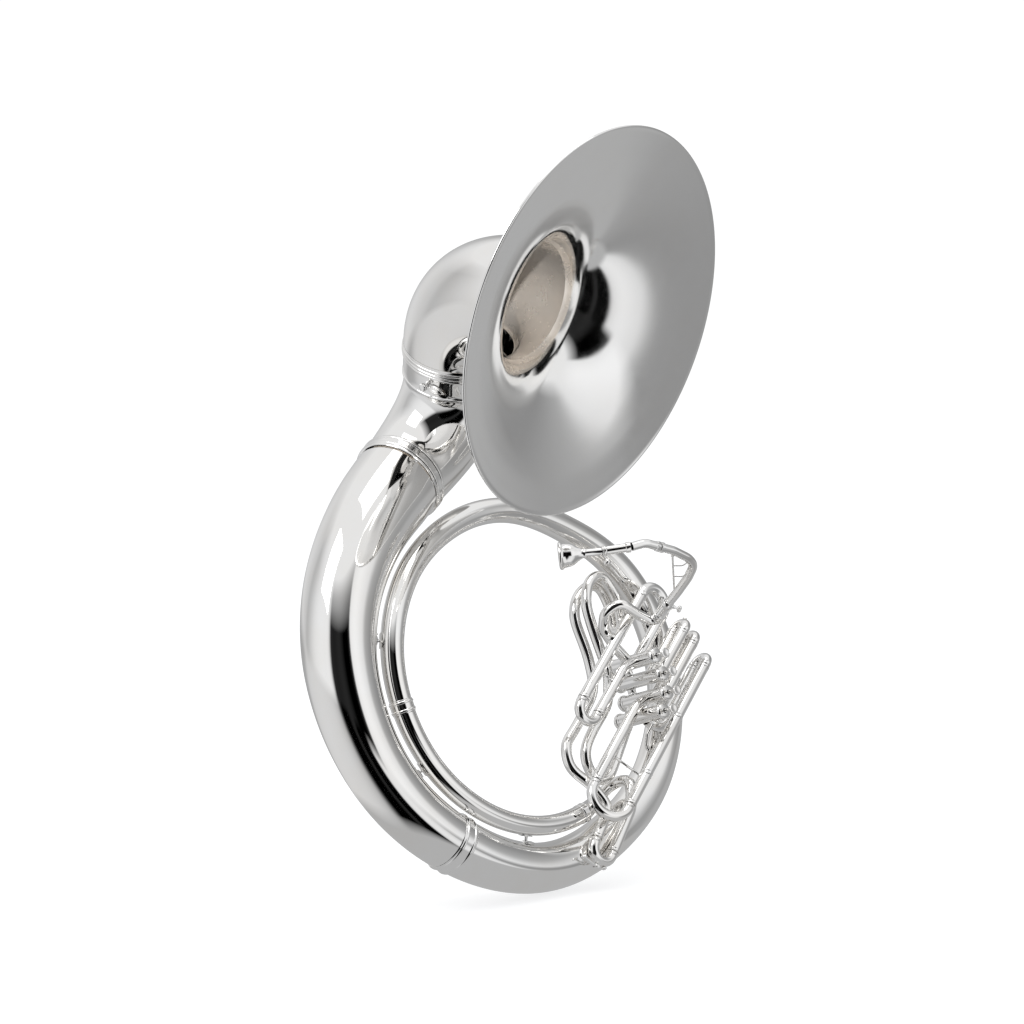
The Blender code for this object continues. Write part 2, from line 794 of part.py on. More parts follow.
def tuning_points():
    along, across = lean_vectors(TUNING_LEAN)
    left = Vector((TUNING_POINT[0], TUNING_DEPTH, TUNING_POINT[1]))
    right = left + across * TUNING_SPREAD
    return along, left, right


def build_wraps():
    """Long outlet tubing: two S-shaped loops inside the coil, then the tuning slide."""
    along, left, right = tuning_points()
    inner = rounded([valve_point(3, -8.0), (168.0, -8.0, -192.0), (138.0, -8.0, -206.0),
                     (116.0, -8.0, -180.0), (112.0, -8.0, -148.0), (138.0, -8.0, -114.0),
                     (186.0, -8.0, -64.0), (196.0, -8.0, -10.0), (172.0, -8.0, 68.0),
                     (161.0, -8.0, 116.0), (174.0, -8.0, 157.0), (211.0, -8.0, 174.0),
                     (241.0, -8.0, 126.0), (243.0, -8.0, 84.0)],
                    [22, 26, 40, 40, 60, 60, 60, 90, 60, 34, 30, 60], 36.0)
    body = tube("inner_wrap", inner, TUBE, TUBE_BORE, WRAP_SIDES)
    cut(body, [casing_cutter(3)])
    outer = rounded([(243.0, -8.0, 83.4), (243.0, -8.0, 70.0), (243.0, 15.0, 70.0),
                     (243.0, 15.0, 114.0), (222.0, 15.0, 158.0), (186.0, 15.0, 154.0),
                     (156.0, 15.0, 124.0), (151.0, 15.0, 92.0), (172.0, 15.0, 30.0),
                     (178.0, 12.0, -34.0), (108.0, -4.0, -102.0), (70.0, -8.0, -136.0),
                     (68.0, -12.0, -178.0), (104.0, -27.0, -212.0),
                     left + along * 40.0, left - along * 27.0],
                    [11.2, 11.2, 40, 34, 60, 60, 60, 80, 60, 60, 30, 34, 30, 24], 36.0)
    tube("outer_wrap", outer, [TUBE] * (len(outer) - 2) + [WRAP_LEG] * 2,
         [TUBE_BORE] * (len(outer) - 2) + [WRAP_LEG_BORE] * 2, WRAP_SIDES)


def build_tail():
    """Tube from the small end of the coil round to the right leg of the tuning slide."""
    along, left, right = tuning_points()
    start, radius = coil_point(COIL_END)
    tangent = coil_tangent(COIL_END)
    pts = rounded([start, start + tangent * 14.0, (134.0, 10.0, -240.0), (188.0, 12.0, -204.0),
                   (188.0, TUNING_DEPTH, -204.0), right + along * 66.0, right - along * 27.0],
                  [34, 40, 22, 22, 24], 36.0)
    total = 0.0
    reach = [0.0]
    for i in range(1, len(pts)):
        total += (pts[i] - pts[i - 1]).length
        reach.append(total)
    outer = []
    for d in reach:
        t = min(1.0, d / 105.0)
        outer.append(radius + (LEG - radius) * t)
    outer[0] = radius + 1.8
    outer.insert(1, radius + 1.8)
    pts.insert(1, start + tangent * 12.0)
    inner = [r - COIL_WALL for r in outer]
    inner[0] = radius - COIL_WALL
    inner[1] = radius - COIL_WALL
    tube("tail_tube", pts, outer, inner, SIDES)


def build_tuning_slide():
    along, left, right = tuning_points()
    u_slide("tuning_slide", left - along * 27.0, right - along * 27.0, -along, 50.0)


# ================================================================ mouthpiece line
NECK_LINE = [(156.0, -218.0, 171.0), (184.0, -221.0, 165.0), (218.0, -221.0, 153.0),
             (240.0, -211.0, 143.0), (247.0, -186.0, 127.0), (249.0, -154.0, 108.0)]
RECEIVER_TOP = (249.0, -128.0, 94.0)
RECEIVER_END = (251.0, -95.4, 76.3)


def build_mouthpipe():
    end = Vector(RECEIVER_END)
    axis = (Vector(RECEIVER_TOP) - end).normalized()
    pts = rounded([end - axis * 0.5, end - axis * 17.0, (218.0, -76.0, 84.0),
                   (182.0, -75.0, 106.0), (166.0, -50.0, 90.0), (176.0, -29.5, 66.0),
                   (200.0, -28.2, 34.0), valve_point(0, -28.0)],
                  [11, 60, 22, 16, 20, 30], 30.0)
    body = tube("mouthpipe", pts, TUBE, TUBE_BORE, WRAP_SIDES)
    cut(body, [casing_cutter(0)])


def build_neck():
    """Swivelling neck with its wire guard, the receiver and the clamp screw."""
    top = Vector(RECEIVER_TOP)
    end = Vector(RECEIVER_END)
    axis = (top - end).normalized()
    line = [Vector(p) for p in NECK_LINE] + [top - axis * 18.0]
    pts = rounded(line, [60, 40, 30, 40, 60], 20.0)
    count = len(pts)
    outer = [7.6 + 0.6 * k / (count - 1) for k in range(count)]
    outer[0] = 9.2
    pts.insert(1, pts[0] + (pts[1] - pts[0]).normalized() * 7.0)
    outer.insert(1, 9.2)
    inner = [6.8] * len(outer)
    body = tube("neck", pts, outer, inner, SIDES, pivot=top)
    post = rod("post", [(185.5, -216.0, 157.0), (243.0, -152.0, 114.0)], 1.7, 8)
    fuse(body, [post])
    facet = math.cos(math.pi / SIDES)
    bore = (8.2 + GAP) / facet
    length = (top - end).length
    turned("neck_receiver", end, axis,
           [(0.0, 10.4), (5.0, 11.4), (8.0, 10.4), (length - 8.0, 10.6), (length - 4.0, 12.0),
            (length, 11.6)], 16, (0, 1, 0),
           bore=[(0.0, 8.6), (length - 19.0, 8.6), (length - 18.6, bore), (length, bore)])
    side = axis.cross(Vector((0.75, -0.65, -0.1))).cross(axis).normalized()
    centre = end + axis * (length - 5.0)
    turned("clamp_screw", centre, side,
           [(12.6, 3.0), (16.0, 3.0), (16.4, 2.0), (22.0, 2.0), (22.4, 5.6), (24.6, 6.4),
            (27.0, 5.2)], 12, axis, pivot=centre + side * 12.6)


MOUTH_RIM = (8.0, -121.0, 172.5)
MOUTH_END = (60.0, -173.0, 170.6)
BIT_MIDDLE = (101.0, -203.0, 172.6)
BIT_BEND = (126.0, -214.0, 178.0)


def build_mouthpiece():
    rim = Vector(MOUTH_RIM)
    end = Vector(MOUTH_END)
    axis = (end - rim).normalized()
    length = (end - rim).length
    turned("mouthpiece", rim, axis,
           [(0.0, 19.0), (0.0, 22.5), (2.4, 24.5), (6.5, 23.6), (9.0, 21.6), (24.0, 18.6),
            (36.0, 10.6), (44.0, 7.6), (length - 1.0, 6.4),
            (length + 4.0, 5.6)], 22, (0, 1, 0),
           bore=[(0.0, 19.0 - 2.0), (4.0, 16.0), (20.0, 12.5), (33.0, 4.6), (46.0, 4.0),
                 (length + 4.0, 4.8)], pivot=end)


def build_bits():
    end = Vector(MOUTH_END)
    middle = Vector(BIT_MIDDLE)
    bend = Vector(BIT_BEND)
    last = Vector(NECK_LINE[0])
    facet = math.cos(math.pi / SIDES)
    one = (middle - end).normalized()
    pts = [end + one * 0.5, end + one * 8.0, end + one * 9.0, middle - one * 9.0,
           middle - one * 8.0, middle - one * GAP]
    wide = 9.2
    inner = [7.6, 7.6, 6.2, 6.2, 6.2, 6.2]
    tube("bit_1", pts, [wide, wide, 7.6, 7.6, wide, wide], inner, SIDES, pivot=middle)
    two = (bend - middle).normalized()
    three = (last - bend).normalized()
    line = rounded([middle + two * 2.2, bend, last - three * 0.8], 30.0, 18.0)
    outer = [7.6] * len(line)
    outer[-1] = wide
    outer.insert(len(outer) - 1, wide)
    line.insert(len(line) - 1, last - three * 8.0)
    tube("bit_2", line, outer, [6.2] * len(line), SIDES, pivot=last)


# ================================================================ small fittings
def build_fittings():
    """Hand hook beside the last valve, ball-headed holder, key of the water hole."""
    hook = rounded([(238.0, -58.0, -112.0), (230.0, -50.0, -128.0), (228.0, -46.0, -150.0),
                    (232.0, -50.0, -160.0)], [14, 14], 20.0)
    rod("hand_hook", hook, 3.6, 10)
    stem = rod("ball_holder", [(207.0, -30.0, 188.0), (240.0, -30.0, 152.0)], 2.6, 10)
    ball = turned("ball", (207.0, -30.0, 188.0), (-33.0, 0.0, 36.0),
                  [(-7.0, 1.5), (-5.6, 4.6), (-2.6, 6.8), (2.6, 6.8), (5.6, 4.6), (7.0, 1.5)],
                  12, (0, 1, 0))
    fuse(stem, [ball])


def crook_centre():
    along, left, right = tuning_points()
    return (left + right) / 2 - along * (27.0 + 8.0) - along * along.dot(right - left) / 2


def build_water_key():
    """Sprung key under the tuning crook: touch, pivot barrel and pad."""
    centre = crook_centre()
    reach = TUNING_SPREAD / 2 + TUBE
    down = Vector((-0.12, 0.0, -0.993))
    pad_face = centre + down * (reach + 0.5)
    pivot = key_pivot()
    touch = centre + Vector((-46.0, 0.0, -10.0))
    line = [touch, pivot, pad_face + down * 3.6]
    body = rod("water_key", rounded(line, 12.0, 20.0), 1.9, 8, pivot=pivot)
    pad = turned("pad", pad_face, down, [(0.0, 4.6), (2.6, 4.6), (4.4, 2.6)], 10, (0, 1, 0))
    barrel = rod("barrel", [pivot + Vector((0, -6.0, 0)), pivot + Vector((0, 6.0, 0))], 2.7, 8,
                 (1, 0, 0))
    tip = turned("tip", touch, Vector((-0.35, 0.0, 0.94)), [(-2.2, 4.0), (-1.0, 5.4), (2.2, 5.0)],
                 10, (0, 1, 0))
    fuse(body, [pad, barrel, tip])


def key_pivot():
    return crook_centre() + Vector((-21.0, 0.0, -29.5))


def build_all():
    clear_scene()
    build_bell()
    build_elbow()
    build_collar()
    build_bell_screws()
    build_upper_ferrule()
    build_upper_branch()
    build_coil()
    build_braces()
    build_valves()
    build_first_valve()
    build_short_slide(2, 1, 202.0, 259.0, 145.0)
    build_short_slide(3, 2, 231.0, 257.0, 123.0)
    build_fourth_valve()
    build_wraps()
    build_tail()
    build_tuning_slide()
    build_mouthpipe()
    build_neck()
    build_mouthpiece()
    build_bits()
    build_fittings()
    build_water_key()


build_all()
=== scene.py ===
"""Looks of the sousaphone: fine silver-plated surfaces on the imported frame, camera and light."""
import bpy
import json
import math
from mathutils import Matrix, Vector

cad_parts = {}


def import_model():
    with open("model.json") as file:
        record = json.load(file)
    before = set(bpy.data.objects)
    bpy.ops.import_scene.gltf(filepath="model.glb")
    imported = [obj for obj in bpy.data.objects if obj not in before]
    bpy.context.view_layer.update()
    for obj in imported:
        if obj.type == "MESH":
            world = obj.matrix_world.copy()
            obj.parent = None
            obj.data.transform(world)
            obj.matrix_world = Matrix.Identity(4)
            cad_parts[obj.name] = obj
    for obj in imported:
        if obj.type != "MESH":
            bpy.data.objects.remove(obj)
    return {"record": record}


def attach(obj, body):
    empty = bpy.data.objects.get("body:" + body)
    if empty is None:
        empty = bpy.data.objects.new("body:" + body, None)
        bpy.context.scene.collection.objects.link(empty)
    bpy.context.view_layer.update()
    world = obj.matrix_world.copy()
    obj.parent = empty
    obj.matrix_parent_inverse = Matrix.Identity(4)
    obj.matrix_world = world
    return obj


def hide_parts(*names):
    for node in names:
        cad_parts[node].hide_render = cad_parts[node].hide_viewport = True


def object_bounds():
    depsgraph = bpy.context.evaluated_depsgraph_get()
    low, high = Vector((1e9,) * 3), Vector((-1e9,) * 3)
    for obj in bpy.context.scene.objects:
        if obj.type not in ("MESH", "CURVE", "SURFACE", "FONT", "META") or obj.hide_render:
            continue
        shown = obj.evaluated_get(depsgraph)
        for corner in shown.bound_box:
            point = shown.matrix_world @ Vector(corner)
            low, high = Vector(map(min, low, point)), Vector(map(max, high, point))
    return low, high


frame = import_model()
cad_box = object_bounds()

MM = 0.001
BODY_OF = {}
for body_name, members in frame["record"]["behaviour"]["bodies"].items():
    for member in members:
        BODY_OF[member] = body_name

# ---------------------------------------------------------------- dimensions, as in the CAD
TILT_X = -17.0
TILT_Y = 5.25
TURN_Z = 78.0
COIL = [
    (112, 402.0, 78.0, 34.0), (120, 390.0, 77.4, 30.0), (128, 382.0, 76.4, 26.0),
    (143, 379.0, 71.0, 20.0), (165, 380.0, 64.6, 18.0), (180, 379.5, 61.0, 16.0),
    (210, 366.5, 54.0, 16.0), (240, 349.0, 49.5, 16.0), (270, 344.5, 43.0, 15.0),
    (300, 338.0, 40.5, 13.0), (330, 347.0, 36.0, 12.0), (360, 347.5, 30.5, 10.0),
    (390, 329.0, 28.0, 7.0), (420, 293.0, 25.0, 3.0), (450, 282.0, 22.2, 0.0),
    (480, 278.0, 21.7, -4.0), (510, 285.0, 20.7, -8.0), (540, 292.0, 19.6, -12.0),
    (570, 289.0, 18.3, -13.0), (600, 282.5, 17.6, -15.0), (630, 275.5, 17.0, -16.0),
    (660, 267.5, 16.3, -16.0),
]
COIL_WALL = 0.8
UPPER_FERRULE = 120.0
LOWER_FERRULE = (235.0, 239.6)
SIDE_FERRULE = (362.0, 367.0)
INNER_FERRULE = (551.0, 555.5)
COIL_END = 646.0
REST_ANGLE = 455.0
GAP = 0.3

BELL_CENTRE = Vector((-108.5, -405.0, 487.0))
BELL_AXIS = Vector((0.226, -0.826, -0.517)).normalized()
FLARE = [(0.0, 323.5), (7.0, 298.0), (17.0, 263.0), (31.0, 222.0), (48.0, 185.0),
         (68.0, 154.0), (92.0, 129.0), (118.0, 112.0), (145.0, 102.0)]
COLLAR_POINT = Vector((-121.0, -79.0, 532.0))
COLLAR_AXIS = Vector((-0.36, -0.65, 0.67)).normalized()
COLLAR_RADIUS = 96.0
SCREW_START = 134

VALVE_AXIS = Vector((0.0, -1.0, 0.0))
VALVE_FACE = -90.0
VALVE_SPOTS = [(231.0, 5.0), (243.0, -27.0), (247.0, -61.0), (232.0, -94.0)]
CASING_RADIUS = 13.4
CASING_LENGTH = 102.0

SLIDE_LEAN = 42.8
TUNING_LEAN = 36.9
TUBE = 9.6
TUBE_BORE = 8.9
LEG_BORE = 9.4
LEG_STOP = 12.6  # a tube ends this far from its valve's axis, or from its socket
LEG = 10.2
WRAP_LEG = 10.5
INNER = 8.8
LEG_DEPTH = -50.0
NEAR_DEPTH = -78.0
FAR_DEPTH = -49.0
ROW_NEAR = -72.0
ROW_FAR = -43.0
TUNING_DEPTH = -40.0
TUNING_POINT = (102.0, -284.0)
TUNING_SPREAD = 43.0

NECK_LINE = [(156.0, -218.0, 171.0), (184.0, -221.0, 165.0), (218.0, -221.0, 153.0),
             (240.0, -211.0, 143.0), (247.0, -186.0, 127.0), (249.0, -154.0, 108.0)]
RECEIVER_TOP = Vector((249.0, -128.0, 94.0))
RECEIVER_END = Vector((251.0, -95.4, 76.3))
MOUTH_RIM = Vector((8.0, -121.0, 172.5))
MOUTH_END = Vector((60.0, -173.0, 170.6))
BIT_MIDDLE = Vector((101.0, -203.0, 172.6))
BIT_BEND = Vector((126.0, -214.0, 178.0))


# ================================================================ placing
def attitude():
    turn = Matrix.Rotation(math.radians(TURN_Z), 3, "Z")
    lean = Matrix.Rotation(math.radians(TILT_Y), 3, "Y")
    nod = Matrix.Rotation(math.radians(TILT_X), 3, "X")
    return turn @ lean @ nod


def blend(table, at):
    last = len(table) - 1
    i = 0
    while i < last - 1 and table[i + 1][0] < at:
        i += 1
    p1 = table[i]
    p2 = table[i + 1]
    p0 = table[i - 1] if i > 0 else p1
    p3 = table[i + 2] if i + 2 <= last else p2
    span = p2[0] - p1[0]
    t = (at - p1[0]) / span
    out = []
    for k in range(1, len(p1)):
        m1 = (p2[k] - p1[k]) / span if p0 is p1 else (p2[k] - p0[k]) / (p2[0] - p0[0])
        m2 = (p2[k] - p1[k]) / span if p3 is p2 else (p3[k] - p1[k]) / (p3[0] - p1[0])
        h00 = 2 * t ** 3 - 3 * t ** 2 + 1
        h10 = t ** 3 - 2 * t ** 2 + t
        out.append(h00 * p1[k] + h10 * span * m1 + (1 - h00) * p2[k]
                   + (t ** 3 - t ** 2) * span * m2)
    return out


def coil_point(angle):
    centre, radius, side = blend(COIL, angle)
    turn = math.radians(angle)
    return Vector((centre * math.cos(turn), side, centre * math.sin(turn))), radius


def coil_tangent(angle):
    return (coil_point(angle + 0.05)[0] - coil_point(angle - 0.05)[0]).normalized()


def rest_point():
    centre, radius, side = blend(COIL, REST_ANGLE)
    turn = math.radians(REST_ANGLE)
    reach = centre - radius
    return Vector((reach * math.cos(turn), side, reach * math.sin(turn)))


HOLD = attitude()
REST = rest_point()


def world(point):
    return HOLD @ (Vector(point) - REST) * MM


def lean_vectors(lean):
    lean = math.radians(lean)
    along = Vector((math.sin(lean), 0.0, math.cos(lean)))
    across = Vector((math.cos(lean), 0.0, -math.sin(lean)))
    return along, across


def leg_point(along_mm, across_mm, depth):
    along, across = lean_vectors(SLIDE_LEAN)
    return along * along_mm + across * across_mm + Vector((0.0, depth, 0.0))


def valve_point(index, depth):
    x, z = VALVE_SPOTS[index]
    return Vector((x, depth, z))


# ================================================================ shapes (verts, faces)
def hermite(start, start_dir, end, end_dir, pull, steps):
    pts = []
    tans = []
    for k in range(steps + 1):
        t = k / steps
        h00 = 2 * t ** 3 - 3 * t ** 2 + 1
        h10 = t ** 3 - 2 * t ** 2 + t
        h11 = t ** 3 - t ** 2
        pts.append(start * h00 + start_dir * (pull * h10) + end * (1 - h00)
                   + end_dir * (pull * h11))
        tan = ((start - end) * (6 * t ** 2 - 6 * t)
               + start_dir * (pull * (3 * t ** 2 - 4 * t + 1))
               + end_dir * (pull * (3 * t ** 2 - 2 * t)))
        tans.append(tan.normalized())
    return pts, tans


def rounded(points, bend, step=5.0):
    """Polyline with its corners rounded, as in the CAD but in finer steps."""
    pts = [Vector(p) for p in points]
    out = [pts[0]]
    for i in range(1, len(pts) - 1):
        radius = bend[i - 1] if isinstance(bend, (list, tuple)) else bend
        into = (pts[i] - pts[i - 1]).normalized()
        away = (pts[i + 1] - pts[i]).normalized()
        turn = into.angle(away)
        if turn < 0.02:
            out.append(pts[i])
            continue
        reach = radius * math.tan(turn / 2)
        before = (pts[i] - pts[i - 1]).length
        after = (pts[i + 1] - pts[i]).length
        near = 0.98 if i == 1 else 0.49
        far = 0.98 if i == len(pts) - 2 else 0.49
        reach = min(reach, near * before, far * after)
        radius = reach / math.tan(turn / 2)
        side = (away - into * away.dot(into)).normalized()
        centre = pts[i] - into * reach + side * radius
        count = max(1, int(math.ceil(math.degrees(turn) / step - 0.01)))
        for k in range(count + 1):
            a = turn * k / count
            out.append(centre + into * (radius * math.sin(a)) - side * (radius * math.cos(a)))
    out.append(pts[-1])
    clean = [out[0]]
    for p in out[1:]:
        if (p - clean[-1]).length > 0.25:
            clean.append(p)
    return clean


def eased(points, spacing=3.0, passes=26, keep=8):
    """Even out a bent centre line, leaving its two ends where they are."""
    even = [points[0]]
    for i in range(1, len(points)):
        gap = (points[i] - points[i - 1]).length
        count = max(1, int(round(gap / spacing)))
        for k in range(1, count + 1):
            even.append(points[i - 1].lerp(points[i], k / count))
    for _ in range(passes):
        moved = [p.copy() for p in even]
        for i in range(keep, len(even) - keep):
            moved[i] = (even[i - 1] + even[i] * 2 + even[i + 1]) / 4
        even = moved
    return even


def path_tangents(points):
    tans = []
    for i in range(len(points)):
        if i == 0:
            t = points[1] - points[0]
        elif i == len(points) - 1:
            t = points[-1] - points[-2]
        else:
            t = ((points[i] - points[i - 1]).normalized()
                 + (points[i + 1] - points[i]).normalized())
        tans.append(t.normalized())
    return tans


def ring(centre, side, other, radius, count):
    verts = []
    for k in range(count):
        a = 2 * math.pi * k / count
        verts.append(centre + side * (radius * math.cos(a)) + other * (radius * math.sin(a)))
    return verts


def bridge(faces, a, b, count):
    for k in range(count):
        n = (k + 1) % count
        faces.append((a + k, a + n, b + n, b + k))


def tube(points, outer, inner=None, sides=28, hint=(0, 1, 0), tans=None):
    """Open tube with a wall, or a solid rod when inner is None."""
    pts = [Vector(p) for p in points]
    tans = tans or path_tangents(pts)
    side = Vector(hint) - tans[0] * Vector(hint).dot(tans[0])
    side.normalize()
    n = len(pts)
    outer = outer if isinstance(outer, (list, tuple)) else [outer] * n
    inner = inner if isinstance(inner, (list, tuple)) or inner is None else [inner] * n
    frames = []
    for t in tans:
        side = (side - t * side.dot(t)).normalized()
        frames.append((side.copy(), t.cross(side).normalized()))
    verts = []
    for i in range(n):
        verts += ring(pts[i], frames[i][0], frames[i][1], outer[i], sides)
    faces = []
    for i in range(n - 1):
        bridge(faces, i * sides, (i + 1) * sides, sides)
    if inner is None:
        faces.append(tuple(reversed(range(sides))))
        faces.append(tuple((n - 1) * sides + k for k in range(sides)))
        return verts, faces
    base = n * sides
    for i in range(n):
        verts += ring(pts[i], frames[i][0], frames[i][1], inner[i], sides)
    for i in range(n - 1):
        bridge(faces, base + (i + 1) * sides, base + i * sides, sides)
    bridge(faces, base, 0, sides)
    bridge(faces, (n - 1) * sides, base + (n - 1) * sides, sides)
    return verts, faces


def turned(origin, axis, profile, sides=48, hint=(0, 1, 0), bore=None, knurl=None):
    """Turned form; knurl is (first row, last row, ridges, depth in mm)."""
    axis = Vector(axis).normalized()
    side = Vector(hint) - axis * Vector(hint).dot(axis)
    side.normalize()
    other = axis.cross(side).normalized()
    loop = list(profile)
    if bore is not None:
        loop += list(reversed(bore))
    verts = []
    for row, (d, r) in enumerate(loop):
        centre = Vector(origin) + axis * d
        for k in range(sides):
            a = 2 * math.pi * k / sides
            size = r
            if knurl and knurl[0] <= row <= knurl[1]:
                size = r - knurl[3] * (0.5 + 0.5 * math.cos(a * knurl[2]))
            verts.append(centre + side * (size * math.cos(a)) + other * (size * math.sin(a)))
    faces = []
    count = len(loop)
    for i in range(count - 1):
        bridge(faces, i * sides, (i + 1) * sides, sides)
    if bore is not None:
        bridge(faces, (count - 1) * sides, 0, sides)
    else:
        faces.append(tuple(reversed(range(sides))))
        faces.append(tuple((count - 1) * sides + k for k in range(sides)))
    return verts, faces


def band(centre, axis, radius, width=5.0, raise_by=0.7):
    """Ferrule band with a bead at each edge, round a tube."""
    half = width / 2
    profile = [(-half, radius), (-half, radius + raise_by * 0.6), (-half + 0.5, radius + raise_by),
               (-half + 1.0, radius + raise_by * 0.55), (half - 1.0, radius + raise_by * 0.55),
               (half - 0.5, radius + raise_by), (half, radius + raise_by * 0.6), (half, radius)]
    return turned(centre, axis, profile, 32, (0.3, 0.5, 0.8),
                  bore=[(-half, radius - 0.2), (half, radius - 0.2)])


def stay(a, b, ra, rb, radius=2.4):
    """Round bar between two tubes with a small flange where it meets each wall."""
    a = Vector(a)
    b = Vector(b)
    line = (b - a).normalized()
    start = ra - 0.8
    end = (b - a).length - rb + 0.8
    mid = (start + end) / 2
    profile = [(start, radius + 2.6), (start + 1.2, radius + 2.2), (start + 2.4, radius + 0.5),
               (start + 3.2, radius), (mid - 1.4, radius), (mid, radius + 0.9),
               (mid + 1.4, radius), (end - 3.2, radius), (end - 2.4, radius + 0.5),
               (end - 1.2, radius + 2.2), (end, radius + 2.6)]
    if end - start < 9:
        profile = [(start, radius + 2.0), (start + 1.0, radius), (end - 1.0, radius),
                   (end, radius + 2.0)]
    return turned(a, line, profile, 24, (0.3, 0.2, 0.9))


# ================================================================ silver
def noise(mat, where, scale, detail, rough=0.5):
    node = mat.node_tree.nodes.new("ShaderNodeTexNoise")
    node.inputs["Scale"].default_value = scale
    node.inputs["Detail"].default_value = detail
    node.inputs["Roughness"].default_value = rough
    mat.node_tree.links.new(where, node.inputs["Vector"])
    return node.outputs["Fac"]


def bump(mat, height, strength, distance):
    node = mat.node_tree.nodes.new("ShaderNodeBump")
    node.inputs["Strength"].default_value = strength
    node.inputs["Distance"].default_value = distance
    mat.node_tree.links.new(height, node.inputs["Height"])
    return node


def silver(name, light, dark, rough, scratch=0.012, swirl=0.0, direction=None, metal=1.0):
    """Bright plate: soft tarnish, fine polishing scratches and uneven gloss."""
    mat = bpy.data.materials.new(name)
    mat.use_nodes = True
    nodes = mat.node_tree.nodes
    links = mat.node_tree.links
    shader = nodes["Principled BSDF"]
    shader.inputs["Metallic"].default_value = metal
    where = nodes.new("ShaderNodeTexCoord").outputs["Object"]
    tone = nodes.new("ShaderNodeValToRGB")
    tone.color_ramp.elements[0].position = 0.34
    tone.color_ramp.elements[0].color = dark
    tone.color_ramp.elements[1].position = 0.62
    tone.color_ramp.elements[1].color = light
    links.new(noise(mat, where, 9.0, 5.0, 0.6), tone.inputs["Fac"])
    links.new(tone.outputs["Color"], shader.inputs["Base Color"])
    gloss = nodes.new("ShaderNodeMapRange")
    gloss.inputs["From Min"].default_value = 0.3
    gloss.inputs["From Max"].default_value = 0.75
    gloss.inputs["To Min"].default_value = rough * 0.6
    gloss.inputs["To Max"].default_value = rough * 1.6
    links.new(noise(mat, where, 38.0, 7.0, 0.65), gloss.inputs["Value"])
    links.new(gloss.outputs["Result"], shader.inputs["Roughness"])
    stretch = nodes.new("ShaderNodeMapping")
    stretch.inputs["Scale"].default_value = direction or (1.0, 1.0, 6.0)
    links.new(where, stretch.inputs["Vector"])
    grain = bump(mat, noise(mat, stretch.outputs["Vector"], 420.0, 4.0), scratch, 0.0006)
    ripple = bump(mat, noise(mat, where, 22.0, 1.0), swirl, 0.002)
    links.new(grain.outputs["Normal"], ripple.inputs["Normal"])
    links.new(ripple.outputs["Normal"], shader.inputs["Normal"])
    return mat


BRIGHT = (0.95, 0.945, 0.935, 1.0)
WARM = (0.93, 0.912, 0.885, 1.0)
MATS = {
    "bell": silver("silver_bell", BRIGHT, (0.94, 0.93, 0.915, 1.0), 0.085, 0.015, 0.03),
    "tube": silver("silver_tubing", BRIGHT, WARM, 0.035, 0.01, 0.05),
    "fit": silver("silver_fittings", BRIGHT, WARM, 0.08, 0.02, 0.04),
    "slide": silver("silver_slides", BRIGHT, WARM, 0.055, 0.014, 0.03),
    "steel": silver("piston_metal", (0.78, 0.775, 0.765, 1.0), (0.66, 0.65, 0.63, 1.0), 0.22,
                    0.05, 0.02, (1.0, 8.0, 1.0)),
    "inside": silver("silver_bore", (0.93, 0.87, 0.80, 1.0), (0.86, 0.79, 0.71, 1.0), 0.22, 0.03,
                     0.2, metal=0.6),
    "cup": silver("silver_mouthpiece", BRIGHT, WARM, 0.06, 0.012, 0.02),
}


def piece(name, parts, look, node=None, body=None, bevel=0.0, crease=38.0, inside=None):
    """Join shapes into one smooth-shaded object that rides on its body.

    inside is (look, first face, last face) for a bore with its own finish."""
    verts = []
    faces = []
    for part_verts, part_faces in parts:
        base = len(verts)
        verts += [tuple(world(v)) for v in part_verts]
        faces += [tuple(base + k for k in face) for face in part_faces]
    mesh = bpy.data.meshes.new(name)
    mesh.from_pydata(verts, [], faces)
    mesh.validate()
    mesh.update()
    mesh.shade_smooth()
    mesh.set_sharp_from_angle(angle=math.radians(crease))
    mesh.materials.append(MATS[look])
    if inside:
        mesh.materials.append(MATS[inside[0]])
        for k in range(inside[1], inside[2]):
            mesh.polygons[k].material_index = 1
    obj = bpy.data.objects.new(name, mesh)
    bpy.context.scene.collection.objects.link(obj)
    if bevel:
        mod = obj.modifiers.new("edge", "BEVEL")
        mod.width = bevel * MM
        mod.segments = 2
        mod.limit_method = "ANGLE"
        mod.angle_limit = math.radians(crease)
        mod.harden_normals = False
    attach(obj, body or BODY_OF[node])
    if node:
        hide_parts(node)
    return obj


# ================================================================ bell
def flare_profile():
    """Smooth curve through the flare's stations, from the narrow end to the rim."""
    table = [(float(i), -d, r) for i, (d, r) in enumerate(reversed(FLARE))]
    rows = []
    steps = (len(FLARE) - 1) * 10
    for k in range(steps + 1):
        t = k / 10
        d, r = blend(table, max(0.0001, min(t, len(FLARE) - 1.0001)))
        rows.append((d, r))
    return rows


def build_bell():
    rows = flare_profile()
    outside = [row for row in rows if row[1] < 318.5]
    inside = [(d + 0.9, r - 0.4) for d, r in outside]
    inside[0] = (outside[0][0], outside[0][1] - 1.0)
    lip = []
    for k in range(13):
        a = math.radians(-120 + 250 * k / 12)
        lip.append((-1.5 + 2.5 * math.sin(a), 322.4 + 2.5 * math.cos(a)))
    outside = outside + [(-3.2, 320.0)] + lip
    sides = 192
    rows_all = len(outside) + len(inside)
    first = (rows_all - 5) * sides
    piece("bell_flare_skin", [turned(BELL_CENTRE, BELL_AXIS, outside, sides, (0, 0, 1),
                                     bore=inside)], "bell", "bell_flare", crease=60,
          inside=("inside", first, (rows_all - 1) * sides))


